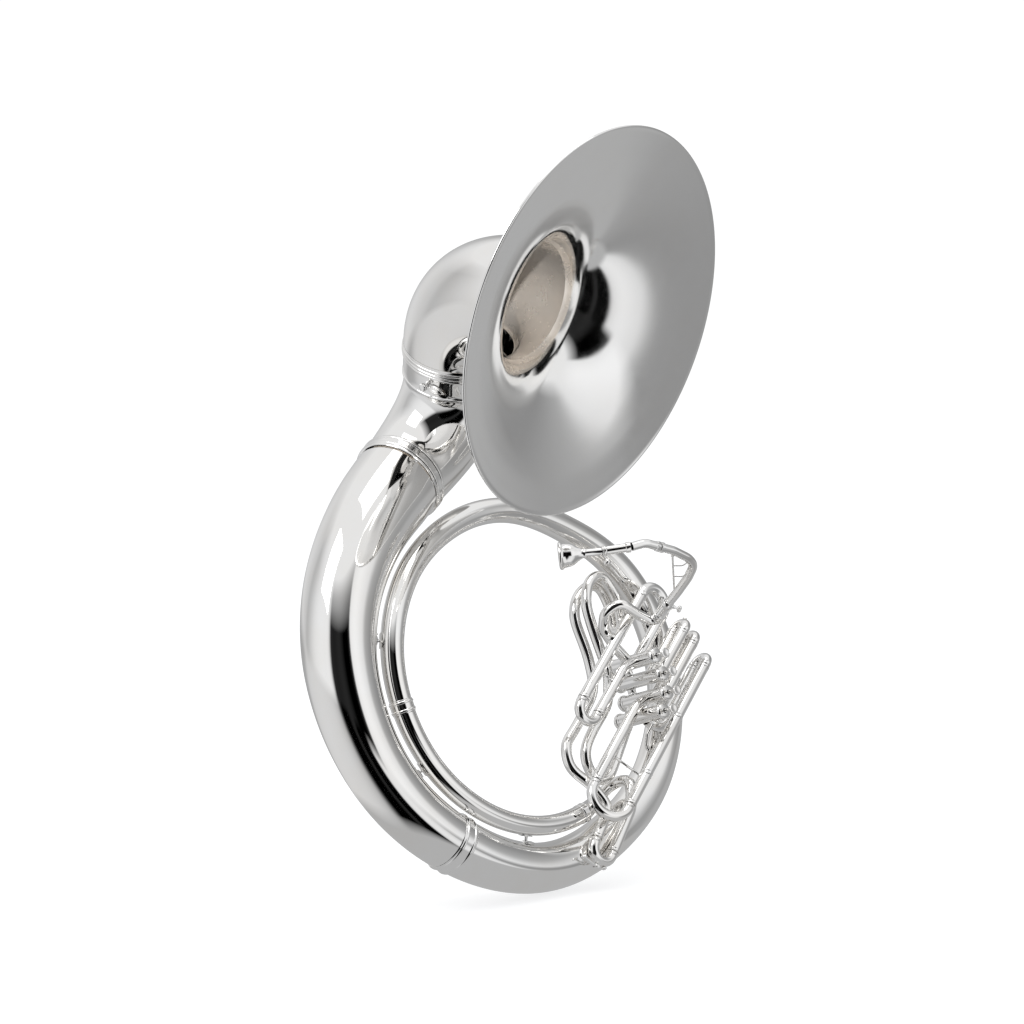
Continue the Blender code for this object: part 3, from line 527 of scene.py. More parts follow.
def build_elbow():
    steps = 60
    start = COLLAR_POINT + COLLAR_AXIS * 22.0
    end = BELL_CENTRE - BELL_AXIS * (FLARE[-1][0] + GAP)
    pull = (end - start).length * 1.15
    pts, tans = hermite(start, COLLAR_AXIS, end, BELL_AXIS, pull, steps)
    radii = [97.0 + 5.0 * k / steps for k in range(steps + 1)]
    inner = [r - 1.0 for r in radii]
    piece("bell_elbow_skin", [tube(pts, radii, inner, 96, (0, 0, 1), tans)], "tube",
          "bell_elbow", inside=("inside", steps * 96, 2 * steps * 96))


def bead(profile, at, radius, height, half):
    for k in range(9):
        t = -1 + k / 4
        profile.append((at + half * t, radius + height * math.sqrt(max(0.0, 1 - t * t))))


def build_collar():
    tenon = COLLAR_RADIUS - 4.0
    profile = [(-21.0, tenon), (4.9, tenon), (4.9, 97.4)]
    bead(profile, 7.6, 97.8, 1.5, 2.0)
    profile += [(10.2, 97.5), (12.0, 97.5)]
    bead(profile, 14.5, 97.8, 1.5, 2.0)
    profile += [(17.0, 97.6), (21.7, 97.2)]
    bore = [(-21.0, tenon - 2.0), (5.0, tenon - 2.0), (14.0, tenon - 1.0), (21.7, tenon - 0.4)]
    piece("bell_tenon_skin", [turned(COLLAR_POINT, COLLAR_AXIS, profile, 120, (0, 0, 1),
                                     bore=bore)], "tube", "bell_tenon")
    profile = [(-38.7, 95.0)]
    bead(profile, -35.8, 95.4, 1.7, 2.2)
    profile += [(-32.5, 95.3), (-24.0, 95.4), (-22.0, 95.9), (-4.0, 96.1)]
    bead(profile, 1.2, 96.6, 1.5, 2.6)
    profile += [(4.5, 96.6)]
    bore = [(-38.7, 93.0), (-24.0, 91.0), (-22.0, tenon + 0.3), (4.5, tenon + 0.3)]
    parts = [turned(COLLAR_POINT, COLLAR_AXIS, profile, 120, (0, 0, 1), bore=bore)]
    for index in range(3):
        centre, out = screw_frame(index)
        parts.append(turned(centre, out, [(95.0, 7.6), (96.3, 7.4), (96.6, 6.6)], 28, COLLAR_AXIS))
    piece("bell_receiver_skin", parts, "tube", "bell_receiver")


def screw_frame(index):
    side = Vector((0, 0, 1)) - COLLAR_AXIS * COLLAR_AXIS.z
    side.normalize()
    other = COLLAR_AXIS.cross(side).normalized()
    turn = math.radians(SCREW_START + 120 * index)
    out = side * math.cos(turn) + other * math.sin(turn)
    return COLLAR_POINT + COLLAR_AXIS * -13.0, out


def build_bell_screws():
    for index in range(3):
        centre, out = screw_frame(index)
        start = COLLAR_RADIUS + 0.7
        profile = [(start, 5.2), (start + 2.4, 5.2), (start + 3.0, 4.6), (start + 3.6, 2.3),
                   (start + 8.6, 2.3), (start + 9.4, 5.6), (start + 10.0, 7.0),
                   (start + 10.8, 7.5), (start + 13.6, 7.5), (start + 14.6, 6.8),
                   (start + 15.4, 5.4), (start + 16.4, 2.6)]
        piece("bell_screw_%d_head" % (index + 1),
              [turned(centre, out, profile, 144, COLLAR_AXIS, knurl=(6, 9, 30, 0.7))],
              "fit", "bell_screw_%d" % (index + 1))


# ================================================================ coil
def coil_rows(start, end, step):
    count = max(2, int(round((end - start) / step)))
    return [start + (end - start) * k / count for k in range(count + 1)]


def coil_piece(name, start, end, step, sides):
    rows = coil_rows(start, end, step)
    pts = [coil_point(a)[0] for a in rows]
    radii = [coil_point(a)[1] for a in rows]
    tans = [coil_tangent(a) for a in rows]
    inner = [r - COIL_WALL for r in radii]
    piece(name + "_skin", [tube(pts, radii, inner, sides, (0, 1, 0), tans)], "tube", name)


def angle_gap(angle):
    return math.degrees(GAP / blend(COIL, angle)[0])


def coil_ferrule(name, span, sides, raise_by=1.4, height=3.0):
    start, end = span
    rows = 40
    pts = []
    outer = []
    inner = []
    tans = []
    for k in range(rows + 1):
        t = k / rows
        a = start + (end - start) * t
        p, r = coil_point(a)
        lift = raise_by
        for middle in (0.2, 0.8):
            u = (t - middle) / 0.085
            if abs(u) < 1:
                lift = max(lift, raise_by + (height - raise_by) * math.sqrt(1 - u * u))
        for edge in (t, 1 - t):
            if edge < 0.04:
                lift = min(lift, raise_by * (0.5 + 0.5 * edge / 0.04))
        pts.append(p)
        outer.append(r + lift)
        inner.append(r - COIL_WALL)
        tans.append(coil_tangent(a))
    piece(name + "_skin", [tube(pts, outer, inner, sides, (0, 1, 0), tans)], "fit", name)


def upper_joint():
    origin, radius = coil_point(UPPER_FERRULE)
    return origin, -coil_tangent(UPPER_FERRULE), radius


def build_upper():
    origin, axis, radius = upper_joint()
    low = -14.0
    profile = [(low, radius + 0.5), (low + 2, radius + 1.7)]
    bead(profile, low + 7, radius + 1.9, 1.8, 2.6)
    profile += [(low + 11, radius + 1.9), (low + 18, radius + 2.1)]
    bead(profile, low + 22, radius + 2.2, 1.9, 2.6)
    profile += [(low + 27, radius + 1.8), (low + 29, radius + 0.6)]
    bore = [(low, radius - 1.0), (low + 29, radius - 0.9)]
    piece("upper_ferrule_skin", [turned(origin, axis, profile, 96, (0, 1, 0), bore=bore)],
          "fit", "upper_ferrule")
    start = origin + axis * (15.0 + GAP)
    end = COLLAR_POINT - COLLAR_AXIS * (38.7 + GAP)
    steps = 54
    pull = (end - start).length * 1.1
    pts, tans = hermite(start, axis, end, COLLAR_AXIS, pull, steps)
    radii = [radius + 0.4 + (94.8 - radius) * k / steps for k in range(steps + 1)]
    inner = [r - COIL_WALL for r in radii]
    piece("upper_branch_skin", [tube(pts, radii, inner, 96, (0, 1, 0), tans)], "tube",
          "upper_branch")


def build_coil():
    first = UPPER_FERRULE + math.degrees(17.0 / blend(COIL, UPPER_FERRULE)[0])
    coil_piece("big_branch", first, LOWER_FERRULE[0] - angle_gap(240), 1.2, 88)
    coil_ferrule("lower_ferrule", LOWER_FERRULE, 80)
    coil_piece("bottom_bow", LOWER_FERRULE[1] + angle_gap(240),
               SIDE_FERRULE[0] - angle_gap(360), 1.4, 72)
    coil_ferrule("side_ferrule", SIDE_FERRULE, 64)
    coil_piece("top_branch", SIDE_FERRULE[1] + angle_gap(360),
               INNER_FERRULE[0] - angle_gap(550), 1.6, 56)
    coil_ferrule("inner_ferrule", INNER_FERRULE, 48, 1.0, 2.2)
    coil_piece("inner_branch", INNER_FERRULE[1] + angle_gap(560), COIL_END - angle_gap(646),
               1.8, 48)


def saddle(at, toward, spread, angle_step, lift):
    """Curved pad with rounded corners lying on a coil tube."""
    rows = 9
    cols = 13
    verts = []
    for layer in (lift, lift + 1.4):
        for i in range(rows):
            u = 2 * i / (rows - 1) - 1
            a = at + angle_step * u
            p, r = coil_point(a)
            t = coil_tangent(a)
            face = Vector(toward) - p
            face = (face - t * face.dot(t)).normalized()
            across = t.cross(face)
            width = spread * (1 - 0.45 * abs(u) ** 3)
            for j in range(cols):
                v = 2 * j / (cols - 1) - 1
                turn = math.radians(width * v)
                out = face * math.cos(turn) + across * math.sin(turn)
                verts.append(p + out * (r + layer))
    faces = []
    base = rows * cols
    for i in range(rows - 1):
        for j in range(cols - 1):
            a = i * cols + j
            faces.append((a, a + 1, a + cols + 1, a + cols))
            faces.append((base + a, base + a + cols, base + a + cols + 1, base + a + 1))
        a = i * cols
        faces.append((a, a + cols, base + a + cols, base + a))
        b = i * cols + cols - 1
        faces.append((b, base + b, base + b + cols, b + cols))
    for j in range(cols - 1):
        faces.append((j, base + j, base + j + 1, j + 1))
        c = (rows - 1) * cols + j
        faces.append((c, c + 1, base + c + 1, base + c))
    return verts, faces


def coil_brace(name, outer_angle, inner_angle):
    p, r = coil_point(outer_angle)
    q, s = coil_point(inner_angle)
    line = (q - p).normalized()
    start = r + 1.4
    end = (q - p).length - s - 0.6
    mid = (start + end) / 2
    profile = [(start, 5.0), (start + 1.8, 4.4), (start + 3.2, 2.7), (mid - 3.0, 2.4),
               (mid - 1.6, 3.8), (mid + 1.6, 3.8), (mid + 3.0, 2.4), (end - 3.2, 2.7),
               (end - 1.8, 4.4), (end, 5.0)]
    if end - start < 13:
        profile = [(start, 4.6), (start + 1.5, 3.0), (mid, 2.6), (end - 1.5, 3.0), (end, 4.6)]
    piece(name + "_skin", [turned(p, line, profile, 28, (0, 1, 0)),
                           saddle(outer_angle, q, 12, 1.9, 1.2),
                           saddle(inner_angle, p, 30, 2.4, 0.5)], "fit", name, bevel=0.3)


# ================================================================ valves
def build_valves():
    hint = (1, 0, 0)
    for i in range(4):
        top = valve_point(i, VALVE_FACE)
        n = i + 1
        length = CASING_LENGTH
        r = CASING_RADIUS
        profile = [(-length, r), (-length + 5, r), (-length + 5.4, r - 0.5), (-5.4, r - 0.5),
                   (-5.0, r), (0.0, r)]
        parts = [turned(top, VALVE_AXIS, profile, 56, hint,
                        bore=[(-length, 12.4), (0.0, 12.4)])]
        if i < 3:
            depth = VALVE_FACE + 74.0 + 6.0 * i
            a = valve_point(i, depth)
            b = valve_point(i + 1, depth)
            line = (b - a).normalized()
            gap = (b - a).length
            parts.append(turned(a, line, [(12.6, 8.6), (13.6, 8.4), (14.4, 7.6),
                                          (gap - 14.4, 7.6), (gap - 13.7, 8.0)], 32))
        piece("casing_%d_skin" % n, parts, "fit", "casing_%d" % n)
        piece("top_cap_%d_skin" % n,
              [turned(top, VALVE_AXIS,
                      [(GAP, 14.4), (1.0, 14.4), (1.4, 15.1), (5.0, 15.1), (5.4, 14.5),
                       (6.4, 14.3), (8.0, 13.2), (9.4, 12.4), (10.0, 11.2)], 192, hint,
                      bore=[(GAP, 11.0), (6.0, 11.0), (6.6, 4.2), (10.0, 4.2)],
                      knurl=(2, 3, 40, 0.5))], "fit", "top_cap_%d" % n)
        piece("bottom_cap_%d_skin" % n,
              [turned(top - VALVE_AXIS * length, -VALVE_AXIS,
                      [(GAP, 14.4), (1.0, 14.4), (1.4, 15.1), (5.4, 15.1), (5.8, 14.4),
                       (7.4, 13.4), (8.4, 11.0), (8.7, 6.4), (9.4, 5.6)], 192, hint,
                      bore=[(GAP, 11.0), (7.0, 11.0), (9.4, 2.0)], knurl=(2, 3, 40, 0.5))],
              "fit", "bottom_cap_%d" % n)
        piece("piston_%d_skin" % n,
              [turned(top, VALVE_AXIS,
                      [(-72.0, 10.5), (-71.0, 12.0), (-14.0, 12.0), (-13.0, 10.0),
                       (-12.8, 3.0), (10.0, 3.0), (27.4, 2.9), (28.2, 4.6), (28.6, 7.4),
                       (29.2, 8.6), (30.4, 9.2), (31.6, 9.2), (32.6, 8.6), (33.0, 7.4),
                       (32.7, 5.6), (32.2, 3.0), (32.0, 0.6)], 48, hint)], "fit",
              "piston_%d" % n)


# ================================================================ slides
def u_slide(name, a, b, direction, insert, reach=8.0, extra=None):
    a = Vector(a)
    b = Vector(b)
    direction = Vector(direction).normalized()
    across = b - a
    across = across - direction * across.dot(direction)
    half = across.length / 2
    across.normalize()
    level = max(a.dot(direction), b.dot(direction))
    a_top = a + direction * (level - a.dot(direction))
    b_top = b + direction * (level - b.dot(direction))
    mid = (a_top + b_top) / 2
    pts = [a - direction * insert, a + direction * 0.6, a + direction * 0.7,
           a + direction * 1.6, a + direction * 1.9, a_top + direction * (reach - 1.4),
           a_top + direction * (reach - 0.8), a_top + direction * (reach - 0.3)]
    outer = [INNER, INNER, LEG - 0.4, LEG, LEG - 0.3, LEG - 0.3, LEG, TUBE]
    centre = mid + direction * reach
    steps = 32
    for k in range(steps + 1):
        turn = math.pi * k / steps
        pts.append(centre - across * (half * math.cos(turn)) + direction * (half * math.sin(turn)))
        outer.append(TUBE)
    pts += [b_top + direction * (reach - 0.3), b_top + direction * (reach - 0.8),
            b_top + direction * (reach - 1.4), b + direction * 1.9, b + direction * 1.6,
            b + direction * 0.7, b + direction * 0.6, b - direction * insert]
    outer += [TUBE, LEG, LEG - 0.3, LEG - 0.3, LEG, LEG - 0.4, INNER, INNER]
    parts = [tube(pts, outer, 8.2, 32, direction.cross(across))]
    if extra:
        parts += extra(centre, direction, across, half)
    piece(name + "_skin", parts, "slide", name)


def end_band(point, direction, radius=LEG):
    """Band at the open end of a fixed leg."""
    return band(Vector(point) - Vector(direction).normalized() * 3.2, direction, radius, 6.0, 0.5)


def pull_knob(centre, direction, across, half):
    """Small nib on the outside of a crook."""
    start = half + TUBE - 0.6
    return [turned(centre, direction, [(start, 3.6), (start + 1.4, 2.4), (start + 3.0, 2.2),
                                       (start + 3.8, 3.6), (start + 5.6, 3.6),
                                       (start + 6.6, 2.2)], 24, across)]


def build_first_valve():
    along = lean_vectors(SLIDE_LEAN)[0]
    left = 107.0
    right = 148.0
    home = 164.0
    end_level = 14.0
    loop = rounded([leg_point(end_level, left, LEG_DEPTH), leg_point(303.0, left, LEG_DEPTH),
                    leg_point(303.0, home, LEG_DEPTH), leg_point(165.0, home, LEG_DEPTH)], 28.0)
    leg = rounded([leg_point(end_level, right, LEG_DEPTH), leg_point(124.0, right, LEG_DEPTH),
                   valve_point(0, LEG_DEPTH)], 24.0)
    leg[-1] = leg[-1] - (leg[-1] - leg[-2]).normalized() * LEG_STOP
    parts = [tube(loop, LEG, LEG_BORE, 32), tube(leg, LEG, LEG_BORE, 32),
             stay(leg_point(86.0, left, LEG_DEPTH), leg_point(86.0, right, LEG_DEPTH), LEG, LEG),
             end_band(loop[0], -along), end_band(leg[0], -along),
             band(leg_point(268.0, left, LEG_DEPTH), along, LEG, 9.0, 0.6),
             band(leg_point(268.0, home, LEG_DEPTH), along, LEG, 9.0, 0.6)]
    piece("first_loop_skin", parts, "tube", "first_loop")
    u_slide("slide_1", leg_point(end_level, left, LEG_DEPTH),
            leg_point(end_level, right, LEG_DEPTH), -along, 62.0)


def build_short_slide(n, across_mm, top_level, start_level):
    along = lean_vectors(SLIDE_LEAN)[0]
    near = [leg_point(start_level + 7, across_mm, NEAR_DEPTH),
            leg_point(top_level, across_mm, NEAR_DEPTH)]
    far = [leg_point(start_level + 7, across_mm, FAR_DEPTH),
           leg_point(top_level, across_mm, FAR_DEPTH)]
    name = ("second_legs", "third_legs")[n - 2]
    middle = start_level + 34.0
    parts = [tube(near, LEG, LEG_BORE, 32), tube(far, LEG, LEG_BORE, 32),
             stay(leg_point(middle, across_mm, NEAR_DEPTH), leg_point(middle, across_mm, FAR_DEPTH),
                  LEG, LEG),
             end_band(near[1], along), end_band(far[1], along)]
    piece(name + "_skin", parts, "tube", name)
    u_slide("slide_%d" % n, near[1], far[1], along, 56.0,
            extra=pull_knob if n == 2 else None)


def build_fourth_valve():
    along = lean_vectors(SLIDE_LEAN)[0]
    level = 247.0
    row = 279.0
    inlet = rounded([leg_point(level, row, ROW_FAR), leg_point(92.0, row, ROW_FAR),
                     valve_point(3, ROW_FAR)], 26.0)
    inlet[-1] = inlet[-1] - (inlet[-1] - inlet[-2]).normalized() * LEG_STOP
    piece("fourth_inlet_skin", [tube(inlet, LEG, LEG_BORE, 32), end_band(inlet[0], along)], "tube",
          "fourth_inlet")
    low = -88.0
    top = leg_point(level, row, ROW_NEAR)
    bottom = leg_point(low, row, ROW_NEAR)
    back_row = 208.4
    back = rounded([leg_point(low, back_row, LEG_DEPTH), leg_point(88.0, back_row, LEG_DEPTH),
                    valve_point(2, LEG_DEPTH)], 30.0)
    back[-1] = back[-1] - (back[-1] - back[-2]).normalized() * LEG_STOP
    parts = [tube([top, bottom], LEG, LEG_BORE, 32), tube(back, LEG, LEG_BORE, 32),
             stay(leg_point(-26.0, back_row, LEG_DEPTH), leg_point(-26.0, row, ROW_NEAR), LEG, LEG),
             end_band(top, along), end_band(bottom, -along), end_band(back[0], -along),
             band(leg_point(120.0, row, ROW_NEAR), along, LEG, 8.0, 0.6),
             band(leg_point(-16.0, row, ROW_NEAR), along, LEG, 8.0, 0.6)]
    piece("fourth_legs_skin", parts, "tube", "fourth_legs")
    u_slide("slide_4", top, leg_point(level, row, ROW_FAR), along, 64.0)
    u_slide("slide_5", leg_point(low, back_row, LEG_DEPTH), bottom, -along, 74.0)


def tuning_points():
    along, across = lean_vectors(TUNING_LEAN)
    left = Vector((TUNING_POINT[0], TUNING_DEPTH, TUNING_POINT[1]))
    return along, left, left + across * TUNING_SPREAD


def build_wraps():
    along, left = tuning_points()[:2]
    inner = rounded([valve_point(3, -8.0), (168.0, -8.0, -192.0), (138.0, -8.0, -206.0),
                     (116.0, -8.0, -180.0), (112.0, -8.0, -148.0), (138.0, -8.0, -114.0),
                     (186.0, -8.0, -64.0), (196.0, -8.0, -10.0), (172.0, -8.0, 68.0),
                     (161.0, -8.0, 116.0), (174.0, -8.0, 157.0), (211.0, -8.0, 174.0),
                     (241.0, -8.0, 126.0), (243.0, -8.0, 84.0)],
                    [22, 26, 40, 40, 60, 60, 60, 90, 60, 34, 30, 60])
    inner[0] = inner[0] + (inner[1] - inner[0]).normalized() * LEG_STOP
    inner = eased(inner)
    start = (inner[1] - inner[0]).normalized()
    piece("inner_wrap_skin", [tube(inner, TUBE, TUBE_BORE, 32),
                              band(inner[0] + start * 3.0, start, TUBE, 6.0, 0.8),
                              band((243.0, -8.0, 90.0), (0, 0, 1), TUBE, 10.0, 0.8)], "tube",
          "inner_wrap")
    outer = rounded([(243.0, -8.0, 83.4), (243.0, -8.0, 70.0), (243.0, 15.0, 70.0),
                     (243.0, 15.0, 114.0), (222.0, 15.0, 158.0), (186.0, 15.0, 154.0),
                     (156.0, 15.0, 124.0), (151.0, 15.0, 92.0), (172.0, 15.0, 30.0),
                     (178.0, 12.0, -34.0), (108.0, -4.0, -102.0), (70.0, -8.0, -136.0),
                     (68.0, -12.0, -178.0), (104.0, -27.0, -212.0),
                     left + along * 40.0, left - along * 27.0],
                    [11.2, 11.2, 40, 34, 60, 60, 60, 80, 60, 60, 30, 34, 30, 24])
    leg_start = outer[-2]
    outer = eased(outer, 3.0, 26, 11)
    piece("outer_wrap_skin", [tube(outer, TUBE, TUBE_BORE, 32),
                              tube([leg_start, outer[-1]], WRAP_LEG, 9.65, 32),
                              band(leg_start + (outer[-1] - leg_start).normalized() * 3.0, along,
                                   WRAP_LEG - 0.3, 7.0, 0.8),
                              end_band(outer[-1], -along, WRAP_LEG)], "tube", "outer_wrap")


def build_tail():
    along, _, right = tuning_points()
    start, radius = coil_point(COIL_END)
    tangent = coil_tangent(COIL_END)
    pts = rounded([start, start + tangent * 14.0, (134.0, 10.0, -240.0), (188.0, 12.0, -204.0),
                   (188.0, TUNING_DEPTH, -204.0), right + along * 66.0, right - along * 27.0],
                  [34, 40, 22, 22, 24])
    pts = eased(pts, 3.0, 12, 7)
    total = 0.0
    reach = [0.0]
    for i in range(1, len(pts)):
        total += (pts[i] - pts[i - 1]).length
        reach.append(total)
    outer = [radius + (LEG - radius) * min(1.0, d / 105.0) for d in reach]
    inner = [r - COIL_WALL for r in outer]
    piece("tail_tube_skin", [tube(pts, outer, inner, 40),
                             band(start + tangent * 6.5, tangent, radius - 0.4, 12.0, 1.6),
                             end_band(pts[-1], -along)], "tube", "tail_tube")


def build_tuning_slide():
    along, left, right = tuning_points()
    u_slide("tuning_slide", left - along * 27.0, right - along * 27.0, -along, 50.0,
            extra=pull_knob)


# ================================================================ mouthpiece line
def build_mouthpipe():
    axis = (RECEIVER_TOP - RECEIVER_END).normalized()
    pts = rounded([RECEIVER_END - axis * 0.5, RECEIVER_END - axis * 17.0, (218.0, -76.0, 84.0),
                   (182.0, -75.0, 106.0), (166.0, -50.0, 90.0), (176.0, -29.5, 66.0),
                   (200.0, -28.2, 34.0), valve_point(0, -28.0)],
                  [11, 60, 22, 16, 20, 30])
    pts[-1] = pts[-1] - (pts[-1] - pts[-2]).normalized() * LEG_STOP
    pts = eased(pts, 3.0, 14, 6)
    piece("mouthpipe_skin", [tube(pts, TUBE, TUBE_BORE, 32),
                             band(pts[0] - axis * 5.0, axis, TUBE, 8.0, 0.7)], "tube",
          "mouthpipe")


def build_neck():
    axis = (RECEIVER_TOP - RECEIVER_END).normalized()
    line = [Vector(p) for p in NECK_LINE] + [RECEIVER_TOP - axis * 18.0]
    pts = rounded(line, [60, 40, 30, 40, 60], 4.0)
    count = len(pts)
    outer = [7.6 + 0.6 * k / (count - 1) for k in range(count)]
    start = (pts[1] - pts[0]).normalized()
    cup = turned(pts[0], start, [(0.0, 8.6), (0.4, 9.2), (6.4, 9.2), (7.0, 8.6), (7.6, 7.7)], 36,
                 (0, 1, 0), bore=[(0.0, 6.8), (7.6, 6.8)])
    low = Vector((185.5, -216.0, 157.0))
    high = Vector((243.0, -152.0, 114.0))
    post = tube([low, high], 1.7, None, 18)
    wires = []
    for t, reach_to in ((0.30, (226.0, -219.5, 149.5)), (0.62, (244.5, -199.0, 135.0))):
        begin = low.lerp(high, t)
        finish = Vector(reach_to)
        mid = begin.lerp(finish, 0.5) + Vector((0.0, 0.0, -5.0))
        wires.append(tube(rounded([begin, mid, finish], 12.0, 8.0), 1.2, None, 14))
    foot = turned(low, (high - low), [(-1.0, 2.6), (0.6, 3.2), (2.6, 1.8)], 20)
    piece("neck_skin", [tube(pts, outer, 6.8, 36), cup, post, foot] + wires, "tube", "neck")
    length = (RECEIVER_TOP - RECEIVER_END).length
    profile = [(0.0, 10.4)]
    bead(profile, 5.0, 10.5, 1.0, 1.8)
    profile += [(8.0, 10.4), (length - 9.0, 10.6), (length - 8.0, 11.4), (length - 1.0, 11.5),
                (length, 10.9)]
    parts = [turned(RECEIVER_END, axis, profile, 48, (0, 1, 0),
                    bore=[(0.0, 8.6), (length - 19.0, 8.6), (length - 18.6, 8.7),
                          (length, 8.7)])]
    side = axis.cross(Vector((0.75, -0.65, -0.1))).cross(axis).normalized()
    centre = RECEIVER_END + axis * (length - 5.0)
    parts.append(turned(centre, side, [(9.4, 4.0), (12.0, 3.8), (12.3, 3.2)], 28, axis))
    piece("neck_receiver_skin", parts, "fit", "neck_receiver")
    piece("clamp_screw_skin",
          [turned(centre, side, [(12.6, 3.0), (15.6, 3.0), (16.2, 2.0), (22.0, 2.0),
                                 (22.4, 5.4), (23.0, 6.3), (25.6, 6.3), (26.6, 5.4),
                                 (27.0, 4.0)], 120, axis, knurl=(5, 6, 24, 0.5))], "fit",
          "clamp_screw")


def build_mouthpiece():
    axis = (MOUTH_END - MOUTH_RIM).normalized()
    length = (MOUTH_END - MOUTH_RIM).length
    outside = [(1.2, 18.2), (0.4, 19.0), (0.0, 20.4), (0.3, 22.0), (1.2, 23.5), (2.6, 24.3),
               (4.6, 24.4), (6.0, 23.8), (7.0, 22.6), (8.4, 21.6), (14.0, 20.8), (20.0, 19.8),
               (25.0, 18.0), (29.0, 15.4), (33.0, 12.4), (37.0, 10.0), (41.0, 8.4), (44.0, 7.6),
               (45.0, 8.0), (46.2, 8.0), (47.0, 7.4), (length - 1.0, 6.4), (length + 4.0, 5.6)]
    inside = [(1.2, 17.6), (2.6, 16.6), (6.0, 15.6), (12.0, 14.2), (18.0, 12.4), (24.0, 9.6),
              (29.0, 6.6), (33.0, 4.6), (46.0, 4.0), (length + 4.0, 4.8)]
    piece("mouthpiece_skin", [turned(MOUTH_RIM, axis, outside, 72, (0, 1, 0), bore=inside)],
          "cup", "mouthpiece", crease=50)


def build_bits():
    one = (BIT_MIDDLE - MOUTH_END).normalized()
    length = (BIT_MIDDLE - MOUTH_END).length
    profile = [(0.5, 8.6)]
    bead(profile, 2.6, 8.7, 0.6, 1.2)
    profile += [(4.2, 8.8), (7.4, 8.8), (8.2, 8.3), (9.0, 7.6), (length - 9.4, 7.6),
                (length - 8.6, 8.3), (length - 8.0, 9.0), (length - 2.0, 9.2),
                (length - GAP - 0.5, 9.0), (length - GAP, 8.4)]
    piece("bit_1_skin", [turned(MOUTH_END, one, profile, 36, (0, 1, 0),
                                bore=[(0.5, 7.6), (8.0, 7.6), (9.0, 6.2),
                                      (length - GAP, 6.2)])], "tube", "bit_1")
    two = (BIT_BEND - BIT_MIDDLE).normalized()
    last = Vector(NECK_LINE[0])
    three = (last - BIT_BEND).normalized()
    line = rounded([BIT_MIDDLE + two * 2.2, BIT_BEND, last - three * 0.8], 30.0, 4.0)
    cup = turned(last - three * 8.6, three, [(0.0, 7.7), (0.6, 8.6), (1.2, 9.1), (6.8, 9.1),
                                             (7.4, 8.8), (7.8, 8.2)], 36, (0, 1, 0),
                 bore=[(0.0, 6.2), (7.8, 6.2)])
    piece("bit_2_skin", [tube(line, 7.6, 6.2, 36), cup], "tube", "bit_2")


# ================================================================ small fittings
def build_fittings():
    hook = rounded([(238.0, -58.0, -112.0), (230.0, -50.0, -128.0), (228.0, -46.0, -150.0),
                    (232.0, -50.0, -160.0)], [14, 14], 6.0)
    count = len(hook)
    size = [3.6 if k > 3 else 3.0 + 0.15 * k for k in range(count)]
    size[-1] = 2.2
    piece("hand_hook_skin", [tube(hook, size, None, 24)], "fit", "hand_hook")
    ball = []
    for k in range(17):
        a = math.pi * (0.06 + 0.88 * k / 16)
        ball.append((-7.0 * math.cos(a), 7.0 * math.sin(a)))
    stem = turned((207.0, -30.0, 188.0), (33.0, 0.0, -36.0),
                  [(5.6, 3.4), (7.4, 2.5), (44.0, 2.5), (46.6, 3.6), (48.4, 4.0)], 24)
    piece("ball_holder_skin",
          [stem, turned((207.0, -30.0, 188.0), (-33.0, 0.0, 36.0), ball, 32)], "fit",
          "ball_holder")


def crook_centre():
    along, left, right = tuning_points()
    return (left + right) / 2 - along * 35.0 - along * along.dot(right - left) / 2


def build_water_key():
    centre = crook_centre()
    reach = TUNING_SPREAD / 2 + TUBE
    down = Vector((-0.12, 0.0, -0.993))
    pad_face = centre + down * (reach + 0.5)
    pivot = centre + Vector((-21.0, 0.0, -29.5))
    touch = centre + Vector((-46.0, 0.0, -10.0))
    line = rounded([touch, pivot, pad_face + down * 3.6], 12.0, 6.0)
    parts = [tube(line, 1.9, None, 16),
             turned(pad_face, down, [(0.0, 4.4), (0.4, 4.7), (2.4, 4.7), (3.0, 4.2), (4.4, 2.6)],
                    28),
             tube([pivot + Vector((0, -6.0, 0)), pivot + Vector((0, 6.0, 0))], 2.7, None, 24,
                  (1, 0, 0)),
             turned(touch, (-0.35, 0.0, 0.94), [(-2.2, 4.0), (-1.2, 5.2), (1.2, 5.4),
                                                (2.2, 4.6), (1.9, 2.0)], 28)]
    piece("water_key_skin", parts, "fit", "water_key")


# ================================================================ camera and studio
def build_camera():
    right = Vector((0.7543, -0.6447, -0.1242))
    up = Vector((0.0, -0.1892, 0.9819))
    back = Vector((-0.6566, -0.7406, -0.1427))
    axes = [(HOLD @ v).normalized() for v in (right, up, back)]
    rot = Matrix((axes[0], axes[1], axes[2])).transposed()
    data = bpy.data.cameras.new("camera")
    data.lens = 91.4
    data.sensor_width = 36.0
    data.shift_x = -0.0096
    data.shift_y = 0.153
    data.clip_end = 60.0
    camera = bpy.data.objects.new("camera", data)
    bpy.context.scene.collection.objects.link(camera)
    place = rot.to_4x4()
    place.translation = world((0, 0, 0)) + axes[2] * 4.5
    camera.matrix_world = place
    bpy.context.scene.camera = camera
    return axes


def plain(name, colour, glow):
    mat = bpy.data.materials.new(name)
    mat.use_nodes = True
    shader = mat.node_tree.nodes["Principled BSDF"]
    shader.inputs["Base Color"].default_value = (colour, colour, colour, 1.0)
    shader.inputs["Roughness"].default_value = 0.9
    shader.inputs["Specular IOR Level"].default_value = 0.0
    shader.inputs["Emission Color"].default_value = (0.985, 0.99, 1.0, 1.0)
    shader.inputs["Emission Strength"].default_value = glow
    return mat


